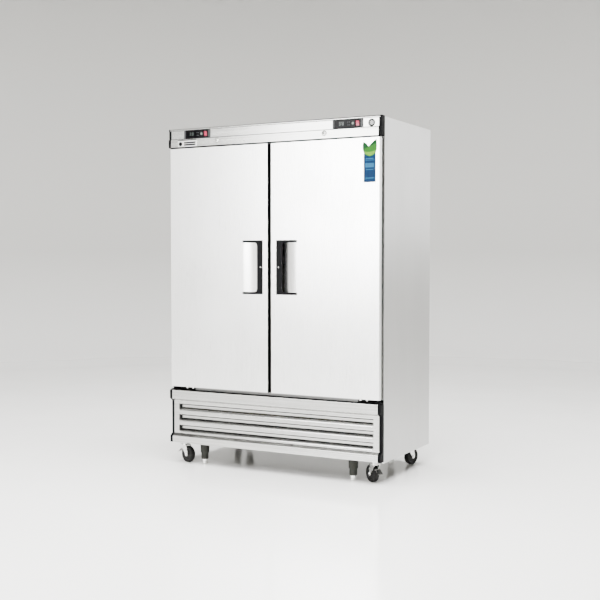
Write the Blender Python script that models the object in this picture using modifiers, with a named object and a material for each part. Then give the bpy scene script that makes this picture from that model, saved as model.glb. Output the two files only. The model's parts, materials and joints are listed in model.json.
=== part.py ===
"""Two-door reach-in refrigerator on casters and levelling legs.

Metres, +Z up. The front faces -Y and the origin is on the floor, under the middle of the cabinet.
Shapes are modelled in an assembly frame whose Y is the depth behind the front bands; one empty
carries that frame to its place. Pieces that move hang from an empty on their joint's axis.
"""

import math

import bmesh
import bpy
from mathutils import Matrix, Vector

# ---------------------------------------------------------------- driving dimensions
WIDTH = 1.260
DEPTH = 0.654  # front bands to the rear edge of the side panels
HEIGHT = 1.820
HALF = WIDTH / 2

GAP = 0.0003  # clearance between neighbouring solids
SHEET = 0.0015  # body sheet steel
LOCK_PROUD = 0.002  # how far the header locks stand in front of the bands
FRONT = -(DEPTH - LOCK_PROUD) / 2  # assembly depth 0 in the finished frame

FACE = 0.0425  # cabinet face, behind the header, the doors and the grille
FACE_SHEET = 0.002
SIDE_BOTTOM = 0.107
CABINET_TOP = HEIGHT - 0.005
BASE = 0.118  # underside of the base pan
BASE_RIM = 0.030
SIDE_INSIDE = HALF - 0.002  # half width left between the side panels

# compartments (right-hand one; the left one mirrors it)
CELL_IN = 0.032
CELL_OUT = 0.578
CELL_BOTTOM = 0.464
CELL_TOP = 1.673
CELL_BACK = 0.600
SHELF_LEVELS = (0.660, 0.940, 1.220)
SHELF_FRONT = 0.085
SHELF_BACK = 0.590
SHELF_THICK = 0.006
POST_DEPTHS = (0.115, 0.545)
POST_THICK = 0.006

# header and grille
CAP = 0.0087  # thickness of the black end caps
BAND_HALF = HALF - CAP - GAP  # half length of the header and grille panels
HEADER_BOTTOM = 1.7195
HEADER_FOLD = 1.7640  # lower and upper creases of the recess that holds the controllers
HEADER_LIP = 1.8090
HEADER_RECESS = 0.006
CONTROL_X = 0.4465
CONTROL_Z = (HEADER_FOLD + HEADER_LIP) / 2
CONTROL_HALF = (0.0825, 0.0222)
ROCKER_OFFSET = 0.053
ROCKER_DEPTH = 0.0110
ROCKER_HALF = 0.0110
ROCKER_REST = math.radians(8)  # the lower half is pressed in
LOCK_X = 0.318
LOCK_Z = 1.7465
LOCK_RADIUS = 0.011

GRILLE_TOP = 0.4027
GRILLE_BOTTOM = 0.115
GRILLE_RECESS = 0.020
SLOT_TOPS = (0.3267, 0.2684, 0.2101)
SLOT_HEIGHT = 0.032
SLOT_HALF = 0.583

# doors (right-hand one; the left one mirrors it)
DOOR_FRONT = 0.002
SKIN_BACK = 0.024
DOOR_BACK = 0.030
DOOR_IN = 0.007
DOOR_OUT = 0.622
DOOR_BOTTOM = 0.424
DOOR_TOP = 1.713
HINGE_X = 0.610
HINGE_DEPTH = 0.022
PIN_RADIUS = 0.005
HANDLE_IN = 0.0394
HANDLE_OUT = 0.1627
HANDLE_BOTTOM = 0.934
HANDLE_TOP = 1.216
HANDLE_DEPTH = 0.0255
GRIP_WIDTH = 0.0350
GRIP_BAR = 0.0095
GASKET_WIDTH = 0.022

# casters and legs: (name, x, depth, heading of the trailing wheel in degrees)
CASTERS = (
    ("front_left", -0.573, 0.066, -16),
    ("front_right", 0.573, 0.066, 147),
    ("rear_left", -0.545, 0.563, 108),
    ("rear_right", 0.545, 0.563, 72),
)
TRAIL = 0.025
WHEEL_RADIUS = 0.045
WHEEL_SIDES = 24
WHEEL_HALF = 0.013
AXLE_RADIUS = 0.004
PEDAL_PIVOT = (-0.020, 0.070)
LEGS = (
    ("front_left", -0.449, 0.072),
    ("front_right", 0.449, 0.072),
    ("rear_left", -0.450, 0.550),
    ("rear_right", 0.450, 0.550),
)
FOOT_CLEAR = 0.001  # the casters carry the cabinet, the feet just miss the floor

# refrigeration
CONDENSER_FAN = (0.350, 0.149, 0.255)
EVAPORATOR_FAN = (0.305, 0.326, 1.594)

SIDES = (("left", -1), ("right", 1))

# ---------------------------------------------------------------- scene
for old in list(bpy.data.objects):
    bpy.data.objects.remove(old, do_unlink=True)

collection = bpy.data.collections.new("reach_in_refrigerator")
bpy.context.scene.collection.children.link(collection)


def material(name, colour, roughness, metallic):
    made = bpy.data.materials.new(name)
    made.use_nodes = True
    shader = made.node_tree.nodes["Principled BSDF"]
    shader.inputs["Base Color"].default_value = (*colour, 1)
    shader.inputs["Roughness"].default_value = roughness
    shader.inputs["Metallic"].default_value = metallic
    return made


STAINLESS = material("stainless", (0.80, 0.80, 0.79), 0.30, 1.0)
BRUSHED = material("brushed_steel", (0.70, 0.70, 0.68), 0.38, 1.0)
GALVANISED = material("galvanised", (0.55, 0.56, 0.57), 0.50, 0.9)
ZINC = material("zinc_plated", (0.74, 0.74, 0.72), 0.30, 1.0)
ALUMINIUM = material("aluminium_fins", (0.72, 0.73, 0.74), 0.40, 0.9)
BLACK = material("black_plastic", (0.015, 0.015, 0.016), 0.45, 0.0)
DARK = material("dark_plastic", (0.05, 0.05, 0.045), 0.55, 0.0)
BEZEL = material("bezel_black", (0.01, 0.01, 0.012), 0.25, 0.0)
RED = material("rocker_red", (0.80, 0.10, 0.14), 0.30, 0.0)
WHITE = material("white_plastic", (0.82, 0.83, 0.84), 0.45, 0.0)
RUBBER = material("gasket_rubber", (0.02, 0.02, 0.02), 0.80, 0.0)
TYRE = material("wheel_tread", (0.03, 0.03, 0.03), 0.70, 0.0)
FOAM = material("insulation_foam", (0.80, 0.72, 0.50), 0.90, 0.0)
COMPRESSOR = material("compressor_paint", (0.02, 0.02, 0.02), 0.35, 0.2)
WIRE = material("coated_wire", (0.78, 0.79, 0.79), 0.40, 0.2)


# ---------------------------------------------------------------- modelling helpers
def empty(name, place, turn=0.0, parent=None):
    """A pivot or a frame at place, turned about Z by turn radians."""
    made = bpy.data.objects.new(name, None)
    made.empty_display_size = 0.05
    made.location = place
    made.rotation_euler.z = turn
    made.parent = parent
    collection.objects.link(made)
    return made


def keep_mesh(bm, name="stock"):
    bmesh.ops.recalc_face_normals(bm, faces=bm.faces)
    mesh = bpy.data.meshes.new(name)
    bm.to_mesh(mesh)
    bm.free()
    made = bpy.data.objects.new(name, mesh)
    collection.objects.link(made)
    return made


def baked(obj):
    """The object with its modifiers, or its curve, turned into one welded mesh."""
    bpy.context.view_layer.update()
    graph = bpy.context.evaluated_depsgraph_get()
    mesh = bpy.data.meshes.new_from_object(obj.evaluated_get(graph))
    bm = bmesh.new()
    bm.from_mesh(mesh)
    bmesh.ops.remove_doubles(bm, verts=bm.verts, dist=1e-6)
    made = keep_mesh(bm)
    made.matrix_world = obj.matrix_world
    bpy.data.objects.remove(obj, do_unlink=True)
    bpy.data.meshes.remove(mesh)
    return made


def block(low, high):
    low, high = Vector(low), Vector(high)
    bm = bmesh.new()
    bmesh.ops.create_cube(bm, size=1)
    bmesh.ops.scale(bm, vec=high - low, verts=bm.verts)
    bmesh.ops.translate(bm, vec=(low + high) / 2, verts=bm.verts)
    return keep_mesh(bm)


def mirror_x(low, high, side):
    """Two corners of a box on the right, or of its mirror image on the left."""
    if side > 0:
        return low, high
    return (-high[0], low[1], low[2]), (-low[0], high[1], high[2])


def side_block(low, high, side):
    return block(*mirror_x(low, high, side))


AXES = {
    "X": Matrix(((0, 0, 1, 0), (1, 0, 0, 0), (0, 1, 0, 0), (0, 0, 0, 1))),
    "Y": Matrix(((1, 0, 0, 0), (0, 0, -1, 0), (0, 1, 0, 0), (0, 0, 0, 1))),
    "Z": Matrix.Identity(4),
}


def prism(outline, low, high, axis):
    """A flat outline extruded from low to high: (y, z) points for X, (x, z) for Y, (x, y) for Z."""
    curve = bpy.data.curves.new("outline", "CURVE")
    curve.dimensions = "2D"
    curve.fill_mode = "BOTH"
    curve.extrude = (high - low) / 2
    spline = curve.splines.new("POLY")
    spline.points.add(len(outline) - 1)
    for point, (u, v) in zip(spline.points, outline):
        point.co = (u, v, 0, 1)
    spline.use_cyclic_u = True
    made = bpy.data.objects.new("outline", curve)
    collection.objects.link(made)
    middle = (low + high) / 2
    shift = Matrix.Translation((0, 0, -middle if axis == "Y" else middle))
    made = baked(made)
    made.data.transform(AXES[axis] @ shift)
    return made


def offset_path(path, thickness):
    """The path moved sideways to its left by thickness, with mitred corners."""
    points = [Vector(point) for point in path]
    moved = []
    for n, point in enumerate(points):
        before = (point - points[n - 1]).normalized() if n else None
        after = (points[n + 1] - point).normalized() if n < len(points) - 1 else None
        if before is None or after is None:
            along = before if after is None else after
            moved.append(point + Vector((-along.y, along.x)) * thickness)
            continue
        normal = Vector((-(before.y + after.y), before.x + after.x)).normalized()
        spread = normal.dot(Vector((-after.y, after.x)))
        moved.append(point + normal * thickness / max(spread, 0.2))
    return [tuple(point) for point in moved]


def bent_sheet(path, thickness, low, high, axis):
    """A folded sheet: the path is its outer face, and the thickness lies to the path's left."""
    return prism(list(path) + offset_path(path, thickness)[::-1], low, high, axis)


def turned(profile, centre=(0, 0, 0), axis="Z", sides=24, turn=0.0):
    """A profile of (radius, height) points turned about the axis; a ring's profile is closed."""
    bm = bmesh.new()
    points = [bm.verts.new((radius, 0, height)) for radius, height in profile]
    for start, end in zip(points, points[1:]):
        bm.edges.new((start, end))
    if profile[0][0] > 0:
        bm.edges.new((points[-1], points[0]))
    made = keep_mesh(bm)
    screw = made.modifiers.new("turn", "SCREW")
    screw.steps = screw.render_steps = sides
    screw.use_merge_vertices = True
    screw.merge_threshold = 0.00005
    made = baked(made)
    tilt = Matrix.Rotation(-math.pi / 2, 4, "X") if axis == "Y" else Matrix.Identity(4)
    made.data.transform(Matrix.Translation(centre) @ tilt @ Matrix.Rotation(turn, 4, "Z"))
    return made


def rod(centre, radius, low, high, axis="Z", sides=20):
    """A plain cylinder about the centre, from low to high along the axis."""
    profile = [(0, high), (radius, high), (radius, low), (0, low)]
    return turned(profile, centre, axis, sides)


def combine(base, others, operation):
    for other in others:
        boolean = base.modifiers.new(operation.lower(), "BOOLEAN")
        boolean.operation = operation
        boolean.object = other
        base = baked(base)
        bpy.data.objects.remove(other, do_unlink=True)
    return base


def union(base, *others):
    return combine(base, others, "UNION")


def cut(base, *others):
    return combine(base, others, "DIFFERENCE")


def together(objects):
    """Several cutters kept in one object, so that one Boolean cuts them all."""
    bm = bmesh.new()
    for obj in objects:
        bm.from_mesh(obj.data)
        bpy.data.objects.remove(obj, do_unlink=True)
    return keep_mesh(bm)


def place(obj, name, look, pivot, at=(0, 0, 0), round_edges=False):
    """Names the piece and hangs it from its pivot; at is the pivot in the assembly frame."""
    obj.data.transform(Matrix.Translation(-Vector(at)))
    obj.name = name
    obj.data.name = name
    obj.data.materials.clear()
    obj.data.materials.append(look)
    if round_edges:
        obj.data.shade_smooth()
        obj.data.set_sharp_from_angle(angle=math.radians(35))
    obj.parent = pivot
    return obj


def arc(centre, radius, start, end, steps):
    """Points on an arc, with angles in degrees."""
    points = []
    for n in range(steps + 1):
        angle = math.radians(start + (end - start) * n / steps)
        points.append((centre[0] + radius * math.cos(angle), centre[1] + radius * math.sin(angle)))
    return points


ASSEMBLY = empty("assembly", (0, FRONT, 0))


# ---------------------------------------------------------------- cabinet shell
def side_panels():
    for name, side in SIDES:
        front_flange, rear_flange = HALF - 0.012, HALF - 0.018
        outline = [
            (HALF, FACE),
            (HALF, DEPTH),
            (rear_flange, DEPTH),
            (rear_flange, DEPTH - SHEET),
            (HALF - SHEET, DEPTH - SHEET),
            (HALF - SHEET, FACE + SHEET),
            (front_flange, FACE + SHEET),
            (front_flange, FACE),
        ]
        panel = prism([(side * x, y) for x, y in outline], SIDE_BOTTOM, CABINET_TOP, "Z")
        place(panel, f"side_panel_{name}", STAINLESS, ASSEMBLY)


BACK_OUTER = DEPTH - SHEET - GAP
BACK_INNER = BACK_OUTER - SHEET
GLAND = (-0.520, 0.300)  # x and height of the power cord's collar in the back panel
GLAND_RADIUS = 0.011


def back_panel():
    panel = block(
        (-SIDE_INSIDE, BACK_INNER, BASE + 0.004), (SIDE_INSIDE, BACK_OUTER, CABINET_TOP - 0.002)
    )
    vents = []
    for _, side in SIDES:
        for row in range(7):
            low = 0.170 + row * 0.030
            vents.append(
                side_block((0.110, BACK_INNER - 0.01, low), (0.470, BACK_OUTER + 0.01, low + 0.008), side)
            )
    panel = cut(panel, together(vents))
    centre = (GLAND[0], 0, GLAND[1])
    collar = rod(centre, GLAND_RADIUS, BACK_INNER - 0.010, BACK_OUTER - SHEET / 3, "Y")
    bore = rod(centre, GLAND_RADIUS - 0.006, BACK_INNER - 0.02, BACK_OUTER + 0.01, "Y", 12)
    place(cut(union(panel, collar), bore), "back_panel", GALVANISED, ASSEMBLY)


def top_panel():
    low = (-SIDE_INSIDE, FACE + FACE_SHEET + GAP, CABINET_TOP - SHEET)
    high = (SIDE_INSIDE, BACK_INNER - GAP, CABINET_TOP)
    place(block(low, high), "top_panel", GALVANISED, ASSEMBLY)


PAN_WALL = 0.0025
PAN_FLOOR = BASE + PAN_WALL + GAP
CASTER_RACE = 0.1015  # underside of the fixed race that each fork turns under
SLEEVE_BOTTOM = 0.026
SLEEVE_BORE = 0.0170
FOOT_TOP = 0.030
FOOT_TRAVEL = 0.020


def leg_sleeve(x, depth):
    """The fixed upper part of a leg: a flanged tube with a threaded bore for the foot's screw."""
    root, shoulder = BASE + PAN_WALL / 2, FOOT_TOP + FOOT_TRAVEL + 0.002
    profile = [
        (0, root),
        (0.032, root),
        (0.032, BASE - 0.005),
        (0.0245, BASE - 0.008),
        (0.0240, 0.062),
        (0.0202, 0.058),
        (0.0195, SLEEVE_BOTTOM),
        (SLEEVE_BORE, SLEEVE_BOTTOM),
        (SLEEVE_BORE, shoulder),
        (0.0076, shoulder),
        (0.0076, BASE - 0.008),
        (0, BASE - 0.008),
    ]
    return turned(profile, (x, depth, 0), sides=16)


def caster_plate(x, depth):
    """A caster's bolted top plate with the fixed half of its swivel race."""
    half, offset, root = 0.032, 0.012, BASE + PAN_WALL / 2
    low = (x - half, depth - half + offset, BASE - 0.003)
    plate = block(low, (x + half, depth + half + offset, root))
    return union(plate, rod((x, depth, 0), 0.0215, CASTER_RACE, root - 0.0005, sides=24))


def base_pan():
    """The floor tray of the machine space, welded to the leg sleeves and the casters' plates."""
    front, back = FACE + 0.004, BACK_INNER - GAP
    pan = block((-SIDE_INSIDE, front, BASE), (SIDE_INSIDE, back, BASE + BASE_RIM))
    inside = block(
        (-SIDE_INSIDE + PAN_WALL, front + PAN_WALL, BASE + PAN_WALL),
        (SIDE_INSIDE - PAN_WALL, back - PAN_WALL, BASE + BASE_RIM + 0.01),
    )
    pan = cut(pan, inside)
    sleeves = [leg_sleeve(x, depth) for _, x, depth in LEGS]
    plates = [caster_plate(x, depth) for _, x, depth, _ in CASTERS]
    place(union(pan, *sleeves, *plates), "base_pan", DARK, ASSEMBLY)


FRAME_HALF = HALF - 0.012 - GAP
FRAME_BOTTOM = 0.390


def upper_hinge(side):
    """The bracket above a door, with the pin that turns in the door's top hole."""
    low, foot = DOOR_TOP + 0.0015, FACE + FACE_SHEET / 2
    arm = side_block((0.588, 0.010, low), (0.620, FACE - 0.001, low + 0.003), side)
    plate = side_block((0.500, FACE - 0.003, low), (0.617, foot, low + 0.040), side)
    pin = rod((side * HINGE_X, HINGE_DEPTH, 0), PIN_RADIUS, DOOR_TOP - 0.014, low + 0.002, sides=16)
    return union(arm, plate, pin)


def face_frame():
    """The cabinet's face around and between the two openings, with the upper hinges welded on."""
    low = (-FRAME_HALF, FACE, FRAME_BOTTOM)
    frame = block(low, (FRAME_HALF, FACE + FACE_SHEET, CABINET_TOP - 0.002))
    for _, side in SIDES:
        opening = side_block((CELL_IN, FACE - 0.01, CELL_BOTTOM), (CELL_OUT, FACE + 0.02, CELL_TOP), side)
        frame = cut(frame, opening)
    frame = union(frame, *[upper_hinge(side) for _, side in SIDES])
    place(frame, "face_frame", BRUSHED, ASSEMBLY)


LINER_FRONT = FACE + FACE_SHEET + GAP


def shelf_rests(side):
    """Slotted posts on both walls of a compartment, with a clip under each shelf corner."""
    rests = []
    for wall, inward in ((CELL_IN, 1), (CELL_OUT, -1)):
        for depth in POST_DEPTHS:
            post = sorted((wall - inward * SHEET / 2, wall + inward * POST_THICK))
            low = (post[0], depth - 0.011, SHELF_LEVELS[0] - 0.160)
            rests.append(side_block(low, (post[1], depth + 0.011, SHELF_LEVELS[-1] + 0.270), side))
            clip = sorted((wall + inward * POST_THICK / 2, wall + inward * (POST_THICK + 0.013)))
            for level in SHELF_LEVELS:
                low = (clip[0], depth - 0.007, level - 0.012)
                rests.append(side_block(low, (clip[1], depth + 0.007, level - GAP), side))
    return rests


def liners_and_insulation():
    foam = block(
        (-SIDE_INSIDE, LINER_FRONT, CELL_BOTTOM - 0.046),
        (SIDE_INSIDE, BACK_INNER - GAP, CABINET_TOP - SHEET - GAP),
    )
    for name, side in SIDES:
        outer_low = (CELL_IN - SHEET, LINER_FRONT, CELL_BOTTOM - SHEET)
        outer_high = (CELL_OUT + SHEET, CELL_BACK + SHEET, CELL_TOP + SHEET)
        liner = side_block(outer_low, outer_high, side)
        hollow = side_block(
            (CELL_IN, LINER_FRONT - 0.01, CELL_BOTTOM), (CELL_OUT, CELL_BACK, CELL_TOP), side
        )
        place(union(cut(liner, hollow), *shelf_rests(side)), f"liner_{name}", WHITE, ASSEMBLY)
        grown = Vector((GAP, GAP, GAP))
        low, high = Vector(outer_low) - grown, Vector(outer_high) + grown
        low.y = LINER_FRONT - 0.01
        foam = cut(foam, side_block(tuple(low), tuple(high), side))
    place(foam, "insulation", FOAM, ASSEMBLY)


# ---------------------------------------------------------------- header
HEADER_FACE = [
    (0.0, HEADER_BOTTOM),
    (0.0, HEADER_FOLD - 0.003),
    (0.0012, HEADER_FOLD - 0.0012),
    (HEADER_RECESS, HEADER_FOLD),
    (HEADER_RECESS, HEADER_LIP),
    (0.0025, HEADER_LIP + 0.0015),
    (0.0025, HEIGHT - 0.0045),
    (0.0045, HEIGHT - 0.0015),
    (0.0075, HEIGHT - 0.0005),
]


def header():
    path = HEADER_FACE + [(FACE - GAP, HEIGHT - 0.0005)]
    panel = bent_sheet(path, -SHEET, -BAND_HALF, BAND_HALF, "X")
    for _, side in SIDES:
        x = side * CONTROL_X
        body = block((x - 0.076, -0.01, CONTROL_Z - 0.0185), (x + 0.076, 0.02, CONTROL_Z + 0.0185))
        hole = rod((side * LOCK_X, 0, LOCK_Z), LOCK_RADIUS + GAP, -0.01, 0.01, "Y", 24)
        panel = cut(panel, body, hole)
    place(panel, "header_panel", BRUSHED, ASSEMBLY)

    back = FACE - GAP
    outline = [(0.004, HEADER_BOTTOM - 0.0005), (0.0008, HEADER_BOTTOM + 0.0015)]
    outline += [(0.0, HEADER_BOTTOM + 0.005)] + HEADER_FACE[1:-1]
    outline += [(0.0075, HEIGHT), (back, HEIGHT), (back, HEADER_BOTTOM - 0.0005)]
    for name, side in SIDES:
        inner, outer = sorted((side * (HALF - CAP), side * HALF))
        place(prism(outline, inner, outer, "X"), f"header_end_cap_{name}", BLACK, ASSEMBLY)

    plate = block((-0.568, -0.0016, 1.7225), (-0.445, -GAP, 1.7605))
    place(plate, "badge_plate", ALUMINIUM, ASSEMBLY)


def controllers():
    """Two bezels, each with a body behind the panel and a pocket for its rocker switch."""
    half_x, half_z = CONTROL_HALF
    for name, side in SIDES:
        x = side * CONTROL_X
        bezel = block(
            (x - half_x, 0.0022, CONTROL_Z - half_z),
            (x + half_x, HEADER_RECESS - GAP, CONTROL_Z + half_z),
        )
        body = block((x - 0.075, 0.005, CONTROL_Z - 0.0175), (x + 0.075, 0.034, CONTROL_Z + 0.0175))
        rocker_x = x + ROCKER_OFFSET
        pocket = block(
            (rocker_x - ROCKER_HALF - GAP, -0.01, CONTROL_Z - 0.0155),
            (rocker_x + ROCKER_HALF + GAP, 0.030, CONTROL_Z + 0.0155),
        )
        place(cut(union(bezel, body), pocket), f"controller_{name}", BEZEL, ASSEMBLY)
        pivot_at = (rocker_x, ROCKER_DEPTH, CONTROL_Z)
        pivot = empty(f"rocker_pivot_{name}", pivot_at, parent=ASSEMBLY)
        outline = [(-0.0068, 0.0130), (-0.0052, 0), (-0.0068, -0.0130), (0, -0.0142)]
        outline += [(0.006, -0.010), (0.006, 0.010), (0, 0.0142)]
        rocker = prism(outline, -ROCKER_HALF, ROCKER_HALF, "X")
        rocker.data.transform(Matrix.Rotation(ROCKER_REST, 4, "X"))
        place(rocker, f"rocker_switch_{name}", RED, pivot)


def header_locks():
    for name, side in SIDES:
        pivot = empty(f"lock_axis_{name}", (side * LOCK_X, 0, LOCK_Z), parent=ASSEMBLY)
        profile = [(0, 0.022), (0.008, 0.022), (0.008, 0.014), (LOCK_RADIUS, 0.014)]
        profile += [(LOCK_RADIUS, -LOCK_PROUD + 0.001), (LOCK_RADIUS - 0.001, -LOCK_PROUD)]
        profile += [(0, -LOCK_PROUD)]
        barrel = turned(profile, axis="Y", sides=24)
        keyway = block((-0.0012, -LOCK_PROUD - 0.01, -0.0045), (0.0012, 0.004, 0.0045))
        place(cut(barrel, keyway), f"header_lock_{name}", ZINC, pivot, round_edges=True)


# ---------------------------------------------------------------- lower grille
GRILLE_FACE = [
    (0.0, GRILLE_TOP),
    (0.0, 0.3560),
    (GRILLE_RECESS, 0.3430),
    (GRILLE_RECESS, 0.1640),
    (0.002, 0.1510),
    (0.002, GRILLE_BOTTOM),
]


def louvre(top):
    """A blade that leaves the face at the foot of its slot, curves back and ends in an upright band."""
    foot, rise, reach, steps = top - SLOT_HEIGHT - 0.0015, SLOT_HEIGHT - 0.003, 0.019, 6
    curved = 0.62  # share of the height that curves
    path = []
    for n in range(steps + 1):
        along = n / steps
        path.append((GRILLE_RECESS + 0.0002 + reach * along**2, foot + rise * curved * along))
    path.append((GRILLE_RECESS + 0.0002 + reach, foot + rise))
    return bent_sheet(path, -0.0012, -SLOT_HALF + GAP, SLOT_HALF - GAP, "X")


def grille():
    path = [(0.004, GRILLE_TOP)] + GRILLE_FACE + [(0.012, GRILLE_BOTTOM)]
    panel = bent_sheet(path, SHEET, -BAND_HALF, BAND_HALF, "X")
    slots = []
    for top in SLOT_TOPS:
        low = (-SLOT_HALF, GRILLE_RECESS - 0.005, top - SLOT_HEIGHT)
        slots.append(block(low, (SLOT_HALF, GRILLE_RECESS + 0.005, top)))
    panel = cut(panel, together(slots))
    panel = union(panel, *[louvre(top) for top in SLOT_TOPS])
    place(panel, "grille_panel", BRUSHED, ASSEMBLY)

    back = FACE - GAP
    outline = GRILLE_FACE + [(back, GRILLE_BOTTOM), (back, GRILLE_TOP)]
    for name, side in SIDES:
        inner, outer = sorted((side * (HALF - CAP), side * HALF))
        place(prism(outline, inner, outer, "X"), f"grille_end_cap_{name}", BLACK, ASSEMBLY)


# ---------------------------------------------------------------- hinges
def lower_hinges():
    """Brackets that carry the doors, each with a shouldered pin standing on its arm."""
    foot, low = FACE - GAP, GRILLE_TOP + 0.002
    for name, side in SIDES:
        arm = side_block((0.588, 0.010, low), (0.628, foot, low + 0.004), side)
        plate = side_block((0.490, foot - 0.003, low), (0.628, foot, DOOR_BOTTOM - 0.002), side)
        profile = [(0, DOOR_BOTTOM + 0.018), (PIN_RADIUS, DOOR_BOTTOM + 0.018)]
        profile += [(PIN_RADIUS, DOOR_BOTTOM - 0.003), (0.009, DOOR_BOTTOM - 0.003)]
        profile += [(0.009, low + 0.002), (0, low + 0.002)]
        pin = turned(profile, (side * HINGE_X, HINGE_DEPTH, 0), sides=16)
        place(union(arm, plate, pin), f"hinge_bracket_{name}", BLACK, ASSEMBLY)


# ---------------------------------------------------------------- doors
def rounded_plan(x_low, x_high, front, back, radius):
    """A door's plan, with its two front corners rounded."""
    outline = arc((x_low + radius, front + radius), radius, 180, 270, 4)
    outline += arc((x_high - radius, front + radius), radius, 270, 360, 4)
    return outline + [(x_high, back), (x_low, back)]


def pocket_plan(front, grow):
    """Plan of the finger pocket: an arc that deepens towards the doors' meeting edge."""
    reach, steps = HANDLE_OUT - HANDLE_IN - GRIP_WIDTH, 9
    radius = (reach**2 + HANDLE_DEPTH**2) / (2 * HANDLE_DEPTH)
    outline = [(HANDLE_OUT, front)]
    for n in range(steps + 1):
        along = reach * n / steps
        sag = radius - math.sqrt(radius**2 - along**2)
        outline.append((HANDLE_OUT - along, DOOR_FRONT + sag + grow))
    outline.append((HANDLE_IN - grow, DOOR_FRONT + HANDLE_DEPTH + grow))
    outline.append((HANDLE_IN - grow, front))
    return outline


def sided(outline, side):
    return [(side * x, y) for x, y in outline]


def door_skin(side):
    """The pressed steel pan, with the finger pocket formed in it and holes for the hinge pins."""
    plan = rounded_plan(DOOR_IN, DOOR_OUT, DOOR_FRONT, SKIN_BACK, 0.004)
    pan = prism(sided(plan, side), DOOR_BOTTOM, DOOR_TOP, "Z")
    hollow = side_block(
        (DOOR_IN + SHEET, DOOR_FRONT + SHEET, DOOR_BOTTOM + SHEET),
        (DOOR_OUT - SHEET, DOOR_BACK + 0.01, DOOR_TOP - SHEET),
        side,
    )
    pocket_wall = prism(
        sided(pocket_plan(DOOR_FRONT + SHEET / 3, SHEET), side),
        HANDLE_BOTTOM - SHEET,
        HANDLE_TOP + SHEET,
        "Z",
    )
    pocket = prism(sided(pocket_plan(DOOR_FRONT - 0.01, 0), side), HANDLE_BOTTOM, HANDLE_TOP, "Z")
    return cut(union(cut(pan, hollow), pocket_wall), pocket, *pin_holes(side))


def pin_holes(side):
    """Cutters for the holes in a door's bottom and top that turn on the hinge pins."""
    centre = (side * HINGE_X, HINGE_DEPTH, 0)
    return [
        rod(centre, PIN_RADIUS + 0.0006, low, high, sides=16)
        for low, high in ((DOOR_BOTTOM - 0.006, DOOR_BOTTOM + 0.020), (DOOR_TOP - 0.020, DOOR_TOP + 0.006))
    ]


LINER_PLATE = DOOR_BACK + GAP
LINER_PLATE_BACK = LINER_PLATE + 0.0025
BULGE_BACK = 0.056
RIM_BACK = 0.038


def gasket_corners():
    low = (DOOR_IN + 0.003, LINER_PLATE_BACK + GAP, DOOR_BOTTOM + 0.012)
    high = (HINGE_X - 0.002, FACE - GAP, DOOR_TOP - 0.012)
    return low, high


def door_rim(side):
    """The edge profile behind the steel skin, which frames the gasket."""
    inset, low, high = 0.0005, *gasket_corners()
    rim = side_block(
        (DOOR_IN + inset, SKIN_BACK + GAP, DOOR_BOTTOM + inset),
        (DOOR_OUT - inset, RIM_BACK, DOOR_TOP - inset),
        side,
    )
    inside = side_block(
        (low[0] - GAP, SKIN_BACK - 0.01, low[2] - GAP), (high[0] + GAP, RIM_BACK + 0.01, high[2] + GAP), side
    )
    return cut(rim, inside)


def door_liner(side):
    """The inner pan with its edge profile; its middle stands into the compartment's opening."""
    wall = 0.0025
    margin = 0.002
    plate = side_block(
        (DOOR_IN + margin, LINER_PLATE, DOOR_BOTTOM + margin),
        (DOOR_OUT - margin, LINER_PLATE_BACK, DOOR_TOP - margin),
        side,
    )
    low, high = (CELL_IN + 0.018, CELL_BOTTOM + 0.018), (CELL_OUT - 0.018, CELL_TOP - 0.018)
    bulge = side_block((low[0], LINER_PLATE + 0.001, low[1]), (high[0], BULGE_BACK, high[1]), side)
    hollow = side_block(
        (low[0] + wall, LINER_PLATE - 0.01, low[1] + wall),
        (high[0] - wall, BULGE_BACK - wall, high[1] - wall),
        side,
    )
    return cut(union(plate, bulge, door_rim(side)), hollow, *pin_holes(side))


def door_gasket(side):
    low, high = gasket_corners()
    ring = side_block(low, high, side)
    inside = side_block(
        (low[0] + GASKET_WIDTH, low[1] - 0.01, low[2] + GASKET_WIDTH),
        (high[0] - GASKET_WIDTH, high[1] + 0.01, high[2] - GASKET_WIDTH),
        side,
    )
    return cut(ring, inside)


GRIP_PROUD = 0.0006
GRIP_THICK = 0.0042
GRIP_CORNER = 0.022


def door_grip(side):
    """The black C-shaped grip: a plate over the deep side of the pocket and a bar at each end."""
    bottom, top = HANDLE_BOTTOM + GAP, HANDLE_TOP - GAP
    edge = HANDLE_IN + GRIP_WIDTH
    corner_x = edge + GRIP_CORNER
    outline = [(HANDLE_IN, top), (HANDLE_OUT, top), (HANDLE_OUT, top - GRIP_BAR)]
    outline += arc((corner_x, top - GRIP_BAR - GRIP_CORNER), GRIP_CORNER, 90, 180, 6)
    outline += arc((corner_x, bottom + GRIP_BAR + GRIP_CORNER), GRIP_CORNER, 180, 270, 6)
    outline += [(HANDLE_OUT, bottom + GRIP_BAR), (HANDLE_OUT, bottom), (HANDLE_IN, bottom)]
    front = DOOR_FRONT - GRIP_PROUD
    grip = prism(sided(outline, side), front - 0.01, DOOR_BACK, "Y")
    space = prism(sided(pocket_plan(front, -GAP), side), bottom, top, "Z")
    grip = combine(grip, [space], "INTERSECT")
    finger_room = side_block(
        (HANDLE_IN + 0.006, front + GRIP_THICK, bottom + GRIP_BAR),
        (HANDLE_OUT + 0.01, DOOR_BACK + 0.01, top - GRIP_BAR),
        side,
    )
    return cut(grip, finger_room)


def doors():
    for name, side in SIDES:
        at = (side * HINGE_X, HINGE_DEPTH, 0)
        pivot = empty(f"door_hinge_{name}", at, parent=ASSEMBLY)
        place(door_skin(side), f"door_skin_{name}", STAINLESS, pivot, at)
        place(door_liner(side), f"door_liner_{name}", WHITE, pivot, at)
        place(door_gasket(side), f"door_gasket_{name}", RUBBER, pivot, at)
        place(door_grip(side), f"door_grip_{name}", BLACK, pivot, at)


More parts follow.
